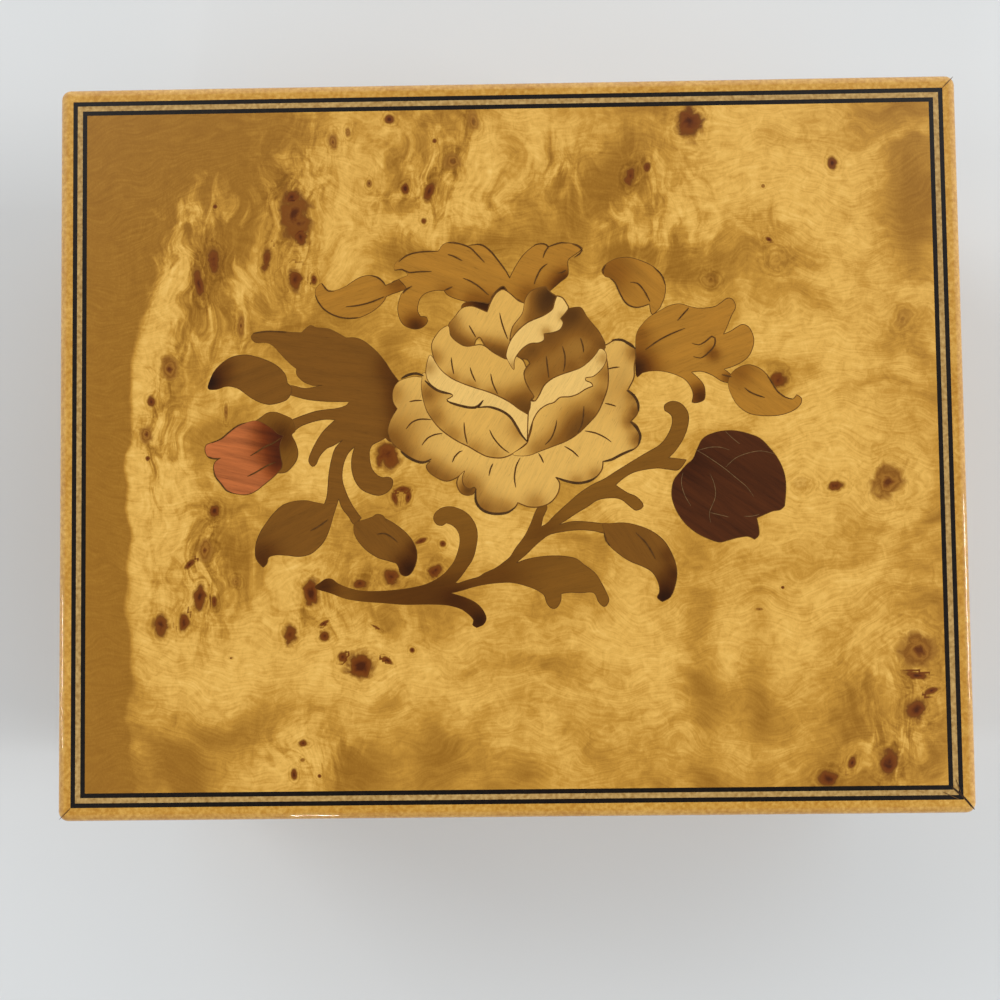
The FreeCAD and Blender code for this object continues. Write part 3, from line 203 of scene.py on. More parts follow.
# Lighter and darker clouds in the wood, as "x y half-width half-height turn strength".
CLOUDS = (
    "-50 52 9 7 0 -.4, -47 33 4 9 -15 -.6, -46 -17 5 12 0 -.28, -53 -51 11 5 25 -.42, -25 -52 6 4 0 -.4, "
    "-13 -51 6 6 0 -.35, 31 -38 3 20 0 -.34, 40 -40 2.5 18 0 -.24, 56 -46 6 11 0 -.38, 67 -20 5 10 0 -.12, "
    "29 29 5 5 0 -.3, 16 43 4 13 -38 -.4, 67 36 4 10 0 -.42, -38 50 8 8 0 -.2, 6 -52 9 5 0 -.16, "
    "-30 20 9 6 0 -.32, 66 53 8 5 0 -.18, -4 34 8 4 0 -.2, -18 30 5 5 0 -.25, 12 -37 18 3 0 -.1, "
    "45 -18 12 3 0 -.1, -53 36 5 5 0 .22, -59 20 3 12 -14 .5, -62 -3 2.5 16 0 .42, -28 36 5 9 0 .35, "
    "-44 28 2 6 0 .4, -3 48 5 7 0 .45, -11 38 7 5 0 .25, -28 47 6 7 0 .2, 27 34 6 6 0 .35, "
    "20.5 31.6 3.6 1.7 0 -.7, 27.5 31 1.6 4 -15 -.35, 38 51 9 7 0 .35, 34 38 6 6 0 .2, 50 41 9 9 0 .32, "
    "59 22 8 12 0 .28, 44 17 8 5 0 .2, 50 2 9 7 0 .38, 61 -8 8 6 0 .3, 54 -22 10 9 0 .2, "
    "-56 -9 3.5 8 0 .5, -55 -24 6 8 0 .3, -47 -22 4 5 0 .22, -38 -24 3.5 8 -20 .45, -30 -35 8 5 0 .4, "
    "-16 -36 7 5 0 .35, -34 -50 5 5 0 .45, 20 -34 12 8 0 .32, 10 -44 20 6 0 .16, 46 -32 7 10 0 .24, "
    "-5 -15 7 6 0 .35, 20 -3 9 10 0 .25, -30 -6 6 8 0 .25, -46 -38 10 5 0 .25, 64 -33 5 5 0 .25, "
    "58 -52 6 4 0 .25, 8 51 7 5 0 .2, 30 8 9 8 0 .25"
)
# Where the figure stands upright in streaks and curls, as "x y half-width half-height turn strength".
CURLS = (
    "-52 30 12 18 0 1, -36 40 10 16 0 .8, -12 45 16 12 0 .8, -58 0 5 26 0 .9, -52 -20 9 14 0 .8, "
    "-31 -25 10 12 0 .5, 24 38 12 14 0 .6, -34 -50 7 6 0 .8, 62 -46 9 12 0 .6, -20 -30 8 8 0 .3, "
    "48 36 10 8 0 .35, 10 45 8 10 0 .6"
)


def rows(text):
    return [[float(v) for v in row.split()] for row in text.split(",")]


def within(x, y, row):
    """The points as seen from an ellipse's middle, with its half sizes as the unit."""
    cx, cy, half_x, half_y, turn = row[:5]
    c, s = math.cos(math.radians(turn)), math.sin(math.radians(turn))
    dx, dy = x - cx, y - cy
    return np.stack([(dx * c + dy * s) / half_x, (dy * c - dx * s) / half_y, np.zeros(x.shape)], 1)


def blob(x, y, row):
    """A soft spot with the strength that ends the row."""
    return row[5] * np.exp(-np.sum(within(x, y, row) ** 2, 1))


def burr_fields(x, y):
    """What the burr's material reads at each point: the grain's flow, the eyes, the clouds and the curls."""
    nearest, kind, offset = np.full(x.shape, 9.0), np.zeros(x.shape), np.full((len(x), 3), 9.0)
    across, along = y.copy(), x.copy()
    for row in rows(EYES):
        local = within(x, y, row)
        distance = np.hypot(local[:, 0], local[:, 1])
        closer = distance < nearest
        kind[closer], nearest[closer], offset[closer] = row[5], distance[closer], local[closer]
        # the grain bends round each eye, within about twice its size
        size = 1.35 * math.sqrt(row[2] * row[3]) + 0.4
        pull = size**2 / ((x - row[0]) ** 2 + (y - row[1]) ** 2 + 0.6 * size**2)
        across -= (y - row[1]) * pull * 0.85
        along += (x - row[0]) * pull * 0.5
    across += 1.6 * np.sin(x / 11 + y / 23) + 0.7 * np.sin(x / 4.7 - y / 9)
    clouds, curls = np.zeros(x.shape), np.zeros(x.shape)
    for row in rows(CLOUDS):
        clouds += blob(x, y, row)
    # the darker wood left of a line that bends inwards and softens towards the back
    edge = -63.5 + 0.0024 * np.maximum(0, y + 8) ** 2 + 0.5 * np.sin(y / 3.1) + 0.3 * np.sin(y / 1.3)
    clouds -= 1.1 / (1 + np.exp((x - edge) / (0.4 + 0.09 * np.maximum(0, y - 15))))
    for row in rows(CURLS):
        curls = np.maximum(curls, blob(x, y, row))
    return {"flow": np.stack([along, across, np.zeros(x.shape)], 1), "eye": nearest, "kind": kind,
            "offset": offset, "clouds": clouds, "curls": curls}


def burr_material():
    """Poplar burr under lacquer: flat brown clouds, bright wavy ones, and eyes with fine rings round them."""
    s = Shader("burr_lacquered", roughness=0.5, coat=1.0, specular=0.1)
    place, flow, curls = s.place(), s.attribute("flow", "Vector"), s.attribute("curls")
    calm = s.maths("SUBTRACT", 1.0, curls)
    wander = s.noise(s.scaled(place, (0.07, 0.07, 1)), detail=2, output="Color")
    drift = s.shifted(flow, s.scaled(wander, (11, 13, 0)))
    big = s.noise(s.scaled(drift, (0.06, 0.1, 1)), detail=3, rough=0.5, distortion=0.7)
    streaks = s.noise(s.scaled(drift, (0.3, 0.15, 1)), detail=5, rough=0.58, distortion=1.1)
    hairs = s.noise(s.scaled(drift, (0.22, 2.6, 1)), detail=3, rough=0.6)
    curled = s.noise(s.scaled(drift, (1.5, 0.3, 1)), detail=3, rough=0.55, distortion=0.6)
    mottle = s.noise(s.scaled(place, (0.5, 0.5, 1)), detail=4, rough=0.6, distortion=1.0)
    flecks = s.noise(s.scaled(place, (4.0, 2.2, 1)), detail=2)
    sheen = s.span(s.total(0.06, (s.attribute("clouds"), 1.0), (s.maths("MULTIPLY", big, calm), 1.4),
                           (calm, -0.7), (s.maths("MULTIPLY", streaks, curls), 3.6), (curls, -1.9)),
                   -0.38, 0.42)
    stirred = s.maths("MULTIPLY", s.total(mottle, -0.5), s.span(sheen, 0.1, 0.6, 0.2, 1.0))
    kind = s.attribute("kind")
    length = s.node("ShaderNodeVectorMath", {0: s.attribute("offset", "Vector")}, "Value", operation="LENGTH")
    eye = s.maths("MAXIMUM", length, s.maths("SUBTRACT", s.attribute("eye"), 0.5))
    wobble = s.noise(s.scaled(place, (0.5, 0.5, 1)), detail=4, rough=0.55, distortion=0.6)
    ragged = s.total(eye, (wobble, 1.5), -0.75)
    turns = s.total((ragged, 7.0), (wobble, 9.0))
    rings = s.maths("MULTIPLY", s.maths("SINE", turns), s.span(ragged, 3.2, 1.3))
    round_about = s.maths("MULTIPLY", s.span(ragged, 2.6, 1.0), s.span(mottle, 0.35, 0.6))
    lined = s.node("ShaderNodeMix", {"Factor": s.maths("MULTIPLY", curls, 0.8), 2: hairs, 3: curled})
    grain = s.maths("MULTIPLY", lined, s.total(0.16, (sheen, 0.24), (curls, 0.32)))
    tone = s.total(0.17, grain, (sheen, 0.26), (curls, -0.16), (stirred, 0.42), (flecks, 0.1), (rings, 0.05),
                   (round_about, -0.13))
    wood = s.ramp(tone, (0.0, (106, 58, 8)), (0.2, (133, 86, 19)), (0.3, (153, 104, 30)),
                  (0.5, (192, 140, 53)), (0.7, (224, 174, 84)), (1.0, (250, 208, 120)))
    heart = s.ramp(s.total(ragged, (mottle, 0.3), -0.15), (0.0, (74, 32, 6)), (0.3, (104, 50, 10)),
                   (0.6, (118, 62, 14)), (0.8, (108, 60, 14)), (1.0, (146, 96, 30)))
    ringed = s.ramp(ragged, (0.0, (96, 48, 10)), (0.2, (122, 70, 18)), (0.42, (158, 106, 36)),
                    (0.62, (132, 82, 22)), (0.9, (158, 108, 38)))
    eyes = s.mix(s.span(kind, 0.6, 0.72), ringed, heart)
    covered = s.maths("MULTIPLY", s.span(ragged, 1.35, 0.7), s.span(kind, 0.0, 0.6))
    s.link(s.mix(covered, wood, eyes), "Base Color")
    return s.material


# Each inlaid piece: colour, direction of its grain in degrees, outline, and the spots scorched in hot sand
# as "x y radius strength". In outlines a / marks a sharp corner, and between corners the line is smooth.
# Lower pieces come first.
STEM_AND_LEAVES = [
    # stem
    ("stem", 12,
     "-32.4 -23.2, -31.4 -22.2, -30.5 -21.7, -29.5 -21.8, -28.6 -22.5, -26.7 -23.3, -24.3 -23.8, "
     "-21.1 -23.8, -18.4 -23.6, -16.3 -23.3, -14.5 -22.9, -12.8 -22.2, -11.4 -21.3, -10.4 -20.3, "
     "-9.5 -19.1, -8.8 -17.3, -8.5 -15.6, -8.8 -14.2, -9.7 -13.2, -10.7 -12.8 / -11.4 -13.2, -12.3 -13, "
     "-12.8 -12.1, -12.5 -11.1, -11.4 -10.3, -10 -10.1, -8.3 -10.6, -6.9 -11.6, -5.9 -13.2, -5.6 -14.9, "
     "-5.9 -17, -6.4 -18.7, -7.3 -20.1, -8.3 -21.5, -9.3 -22.6 / -8.9 -22.7, -7.3 -22.2, -5.5 -21.7, "
     "-4.5 -21.1, -2.7 -20.3, -1.4 -19.4, -0.3 -18.5, 0.7 -17, 1.8 -15.6, 2.5 -14.5, 3.3 -12.8, 4 -11.1, "
     "5.2 -9 / 5.9 -10.4, 5.2 -12.1, 4.9 -13.6 / 5.9 -13, 7.3 -11.6, 9.1 -10, 11.1 -8.3, 13.2 -6.9, "
     "15.3 -5.9, 17.4 -4.6, 19.4 -3.4, 22.1 -1.8, 24.4 -0.5, 25.7 0.9, 26.6 2.8, 26.6 4.4, 25.5 5.3 / "
     "25.5 6.2, 26.7 6.8, 28.2 6.4, 29.3 4.9, 29.3 3, 28.5 0.7, 27.1 -1.4, 26 -2.5 / 27.5 -2.7, "
     "28.9 -2.9 / 27.6 -4.5, 25.7 -4.4, 23.9 -4.2, 20.7 -4.7, 18.8 -5.6, 17.2 -6.9 / 19.1 -8.2, 20.5 -8.8, "
     "21.6 -10, 21.5 -10.7, 20.5 -11.1, 19.7 -10.6, 18.1 -9.3, 16.4 -9, 14.3 -9.3, 12.5 -10.4, 10.8 -11.4, "
     "9.1 -12.5, 7.8 -13.3 / 10.1 -12.8, 12.5 -12.9, 15 -13.2, 17.4 -13.3 / 17.4 -14.5, 15.3 -14.8, "
     "13.6 -14.4, 11.1 -14.2, 8.7 -14.4, 6.3 -14.9, 4.9 -15.8, 3.5 -17, 2.5 -18, 1.4 -18.9, 0.7 -19.5 / "
     "2.5 -18.9, 4.9 -18.5, 7 -18.4, 8.7 -18.5, 10.5 -18.9, 11.8 -19.9 / 13.6 -21.3, 14.6 -22.9, "
     "15.3 -24.3, 15.8 -25.7, 15.3 -26.7, 14.8 -26.7, 14.1 -26, 13.6 -24.8, 12.9 -24.4, 11.1 -24.5, "
     "9.4 -24.4, 8 -24.6 / 7.9 -25.8, 7.2 -26.9, 6.3 -26.9, 5.6 -26, 5.2 -24.8, 3.9 -23.9, 2.1 -23.2, "
     "0 -22.7, -2 -22.7, -4.1 -22.9, -6.2 -23.3, -8.3 -23.9, -10 -24.3 / -7.6 -25.1, -5.9 -26, -4.8 -27.2, "
     "-4.3 -28.5, -4.8 -29.5, -5.9 -30 / -6.6 -29.5, -6.4 -28.8, -7.1 -27.9, -8.3 -27, -9.7 -26.5, "
     "-11.4 -26.2, -14.2 -26.1, -17.7 -26.1, -21.1 -25.8, -24.6 -25.5, -27.4 -25, -29.8 -24.1",
     "-3 -22 6 .3, -20 -25 7 .35, -5.4 -29 2.4 .8, -9 -25.6 3 .5, 5 -14 4 .2, -31 -23 2.4 .6, "
     "-13 -24.5 5 .3"),
    # leaf top
    ("pale_walnut", -20,
     "-18.9 30.1, -18.8 30.4, -18.2 31, -17 31.6, -15.2 32.2, -13.4 32.4, -11.6 32.4 / -11.3 32.8, "
     "-10.9 33.4, -10.1 33.8, -9 33.9, -7.8 33.6, -6.6 33.2 / -6 33.4, -5.1 33.4, -3.9 33, -2.7 31.9, "
     "-1.5 30.4, -0.6 29.3, 0.2 27.7 / 0.7 28.7, 1.5 30.1, 2.6 31.6, 4.1 32.9, 5.3 33.4, 6.4 33.2, "
     "6.8 32.9 / 7.7 33.2, 8.9 33.5, 10.4 33.4, 11.6 33.1, 12.4 32.5 / 11.6 31.8, 10.4 31, 9.9 30.3, "
     "9.9 28.1, 8.6 26.9, 6.8 25.4 / 2.6 23, -1.8 23, -3.6 22.1, -4.2 23.2 / -5.4 23.5, -7.5 24, "
     "-9.3 24.6, -10.3 25.2, -10.7 25.8 / -12.2 25.8, -13.7 25.4, -14.6 24.6, -15 23.6, -15.1 22.4, "
     "-14.6 21.5 / -13.7 21.4, -13.5 20.6, -14.3 19.7, -15.5 19.4, -16.7 19.7, -17.6 20.3, -18.2 21.5, "
     "-18.4 23, -18.1 24.5, -17.6 25.6, -16.5 26.4 / -18.2 25.8, -19.4 25.5, -19.4 27.2, -18.2 27.8, "
     "-16.7 28.4 / -17 29, -17.7 29.4, -18.9 29.4",
     "-3.2 22.8 2.4 .45, 9.6 26.8 2.2 .85, 3.4 24.6 2.4 .35, -15.4 19.8 2.1 .8, -6 24 2 .3, "
     "-10.4 25.4 1.6 .25, 8 25.6 2 .5"),
    # leaf top tip
    ("pale_walnut", 15,
     "-31 27.3, -30.5 26.6, -29.9 26, -28.6 26.1, -27.1 26.7, -25.9 27.5, -24.4 28.3, -22.9 28.5, "
     "-21.8 28.2, -20.9 27.5, -20.4 26.8 / -19.4 27.2, -18.2 27.8 / -17 26.3, -18.2 25.7, -19.4 25.3, "
     "-20.3 24.9 / -20.6 24.3, -21.5 23.3, -22.9 22.3, -24.7 21.5, -26.2 21.3, -28 21.5, -29.5 22.1, "
     "-30.7 23, -31.6 24.2, -32.1 25.4, -31.9 26.6",
     "-18 26.5 2.5 0.4"),
    # leaf main
    ("walnut", -8,
     "-42.8 18.3, -42.5 19, -41.2 19.2, -39.9 19.3, -38 19.4, -36.1 19.2, -34.4 19.1 / -33.8 19.7, "
     "-32.9 20.3, -31.9 19.9, -30 19.7, -28.5 19, -27 18.1 / -25.5 18.1, -24 17.5, -22.1 15.9, -20.6 14.1, "
     "-19.4 12.2, -18.1 10.5 / -17.2 8, -17.2 3.8, -19.4 0.8, -20.6 1.4 / -21.7 0.8, -22.8 0.2, "
     "-23.3 -1.1, -23 -3.4, -22.1 -4.7, -21.1 -5.2 / -20.2 -5.1, -19.5 -5.6, -19.6 -6.7, -20.4 -7.6, "
     "-21.7 -8.1, -23.2 -7.8, -24.7 -7, -25.7 -5.6, -26.2 -3.8, -26.2 -1.9, -25.7 0 / -26.8 -1.1, "
     "-27.6 -3, -27.8 -5.3, -27.2 -7.5, -26.1 -9.8, -24.7 -11.8 / -25.9 -12.8, -26.8 -11.5, -27.8 -10.2, "
     "-28.4 -8.6 / -29.3 -11.3, -30 -13.6, -30.6 -15.1 / -31.6 -12.8, -30.8 -9.5 / -30.3 -7.9, -30 -4.5, "
     "-29.5 -1.9, -28.9 -0.2, -27.7 1.1 / -29.3 0.2, -30.4 -0.3, -31.5 -1.5, -32.1 -2.8, -32.7 -3.2, "
     "-33.3 -2.4, -33.1 -1.3, -32.1 0.8, -30.8 2.7, -28.9 4.5 / -30.4 4.6, -32.3 4.3, -34.4 3.6, "
     "-35.6 2.8 / -36.1 3.6, -36.1 4.6 / -34.2 5.3, -32.3 5.9, -30.4 6.2, -28.5 6.4, -27 6.9, -26.6 7.5 / "
     "-28.5 7.5, -30.8 7.6, -33.4 7.9, -35.3 8.4, -36.9 8.9 / -37.2 9.9, -36.1 10.3, -33.8 9.8, -31 10.3 / "
     "-32.3 10.2, -34 10.8, -35.2 12, -35.3 13.1 / -36.1 13.7, -37.2 14.8, -38.2 15.9, -39.1 16.9, "
     "-40.3 17.5, -42 17.5",
     "-17.6 9.6 3 .55, -17 5.5 3 .55, -20 13.4 2.4 .35, -18.6 1.4 2 .4"),
    # leaf small
    ("walnut", 20,
     "-50 10, -49.5 11.8, -48.6 13.3, -47.1 14.6, -45.6 15.3, -43.7 15.5, -41.8 15.1, -39.9 14.4, "
     "-38.4 13.5, -37.2 12.2, -36.8 10.7 / -36.1 9.9, -36.3 8.8, -37 7.9, -38.4 7.4, -39.9 7.2, -41.4 7.6, "
     "-42.9 8.4, -44.1 9.3, -45.2 10, -46.9 10.3, -48.6 9.8",
     "-49.9 11 2.6 .95, -47.6 13.6 2.2 .3"),
    # leaf low
    ("walnut", 28,
     "-30.6 -9.4, -32.3 -9.1, -33.8 -8.8, -35.7 -8.9, -37.6 -9.5, -39.1 -10.8, -40.3 -12.3, -41.4 -14, "
     "-42.1 -15.9, -42.2 -17.8, -41.7 -18.9, -40.9 -19.7 / -40.3 -19.1, -40 -18.1, -38.8 -17.7, "
     "-36.9 -17.8, -35 -18, -33.1 -17.6, -31.6 -16.4, -30.6 -15.1, -29.9 -13.4, -29.3 -11.3, -28.9 -9.4",
     "-41 -18.5 3 0.5"),
    # leaf hang
    ("walnut", -50,
     "-25.9 -12.8, -25.9 -14.2, -25.3 -15.5, -24 -17, -22.1 -18.3, -20.2 -18.9, -19 -19.3 / -18.6 -20, "
     "-18.4 -20.9, -17.7 -21.4, -16.8 -21.2, -16 -20, -15.6 -18.5, -15.7 -17, -16.4 -15.5, -17.7 -14, "
     "-19.4 -12.7, -20.8 -11.9 / -21.2 -11.4, -22.1 -11.2, -22.8 -11.6 / -24.2 -12.1, -25.1 -12.3",
     "-16.8 -20.4 2.6 .8, -15.6 -17 1.6 .5"),
    # leaf r top
    ("pale_walnut", -40,
     "15.5 28.5, 15.8 29.4, 16.8 30.2, 18.3 30.8, 20.4 30.8, 22.5 30.1, 24.1 29.2, 25.4 27.8, 26 26.1, "
     "25.8 24.2, 25 22.3 / 23.7 21.3, 23.3 23 / 21.6 22.5, 20.2 22.7, 19.1 23.6, 18.4 25, 17.7 26.7, "
     "16.8 27.5, 16.1 27.7",
     "17 28.5 4 0.35"),
    # leaf r
    ("pale_walnut", 20,
     "20.9 16.7, 21.2 18.4, 22 19.6, 23.3 20.9, 25.2 22, 26.6 22.7, 28.3 23, 29.9 22.5 / 31.6 22.2, "
     "33.9 22.4, 35 23, 36.2 23.8, 37.1 23.5, 37.5 22.3, 36.8 20.9, 36 19, 35.4 17.8 / 36.6 18.3, 37.7 19, "
     "38.7 19.4, 39.8 18.7, 40.4 16.7, 39.8 14.6, 38.7 13.4, 37 12.5, 35.4 12 / 36.6 10.9, 36.3 9.7 / "
     "35 10, 33.3 11.1, 31.6 11.7, 30 11.6 / 31.2 10.5, 32 9.4, 32.2 8.2, 32 7, 30.8 6.5, 30 6.6 / "
     "30.2 8.2, 29.3 10, 27.9 11, 25.8 11.7, 23.7 11.9, 22 11.6, 20.9 11.2",
     "20.8 12.2 3.4 .95, 31.6 7.4 2.2 .8, 33.6 14.6 1.2 .5, 36.2 10.4 1.2 .5, 21.4 18 2.2 .3"),
    # leaf r far
    ("pale_walnut", -35,
     "36 9.6, 36.6 11.3, 37.9 12.3, 39.5 12.7, 41.2 12.1, 42.5 10.9, 43.3 9.5, 44.1 8.2, 45.4 7.2, "
     "46.6 6.9, 47.2 7.6 / 48 7, 47.8 6, 46.6 5, 44.5 4.3, 42 4.2, 39.5 4.6, 37.7 5.8, 36.6 7.5",
     "38 11.6 2.6 0.3"),
    # leaf low right
    ("walnut", -55,
     "15 -13.2, 16.2 -13.2, 18.3 -13.1, 20.4 -13.5, 22.9 -14.5, 25 -16.2, 26.4 -18.7, 27 -21.2, "
     "26.6 -23.7, 25.8 -25.4, 24.5 -26.1 / 23.7 -25.4, 24.1 -24.5, 23.9 -22.9, 22.9 -21.2, 21.2 -20.2, "
     "19.5 -19.5, 17.9 -18.5, 16.2 -17, 15.4 -15.8, 15.2 -14.5",
     "25 -25.4 2.8 .9, 26.6 -21.6 1.8 .5, 25.6 -18.4 1.4 .3"),
    # calyx
    ("stem", 60,
     "-36 4.6, -36.5 5, -37.6 5.5, -38.8 5.9, -40.1 5.8, -41 5.2, -42.2 4.4 / -40.5 2.7, -38.8 0.4, "
     "-38.4 -1.5, -38.6 -4.2 / -37.2 -4.1, -36.1 -3.2, -35.3 -2, -35.1 -0.7, -35.5 0.8, -36.1 2.1, "
     "-35.5 2.8",
     "-38 2 2.5 0.5"),
]
BUDS = [
    # bud red
    ("red_wood", -12,
     "-41.8 4.5, -43.7 4.2, -45.2 3.6, -46.7 2.5, -47.8 1.6, -49.4 1, -50.3 0.6, -50.5 -0.3, -50.1 -1.3, "
     "-49.3 -1.7, -47.9 -1.6 / -48.8 -2.2, -49.1 -3.2, -48.8 -4.5, -47.8 -5.8, -46.9 -7, -45.6 -7.5, "
     "-43.7 -7.7, -42.2 -7.2, -40.6 -6, -39.1 -4.8, -38.4 -4.1 / -37.7 -3, -38 -1.1, -38.1 0.4, -37.5 2 / "
     "-38.4 2.3, -39.7 3.4",
     "-37.8 1.9 3 .8, -38 -1.6 2.2 .7, -38.8 -4 1.8 .4, -40.4 3.6 2 .4, -40 0 3 .35"),
    # bud dark
    ("rosewood", -35,
     "30.8 -0.9, 31.6 0.5, 32.9 1.3, 35 1.8, 37 1.8, 39.1 1.3, 41 0.5, 42.5 -1, 43.9 -2.9, 44.8 -5, "
     "45.1 -7, 45 -9.1, 44.8 -10.7 / 44.1 -11.3, 42.9 -11.5, 41.6 -12, 40.2 -12.6 / 40.5 -14.1, "
     "40.5 -15.4, 39.8 -16.1 / 38.7 -15.6, 37 -15.8, 35.4 -16.2, 34.1 -16.5, 32.5 -16, 30.8 -15.2, "
     "29.3 -14.1, 28.3 -13.1, 27.2 -11.4, 26.5 -9.5, 26.4 -7.9, 26.8 -6.2, 27.9 -4.8, 28.9 -3.7, 30 -2.7",
     "29 -3 4 0.2"),
]
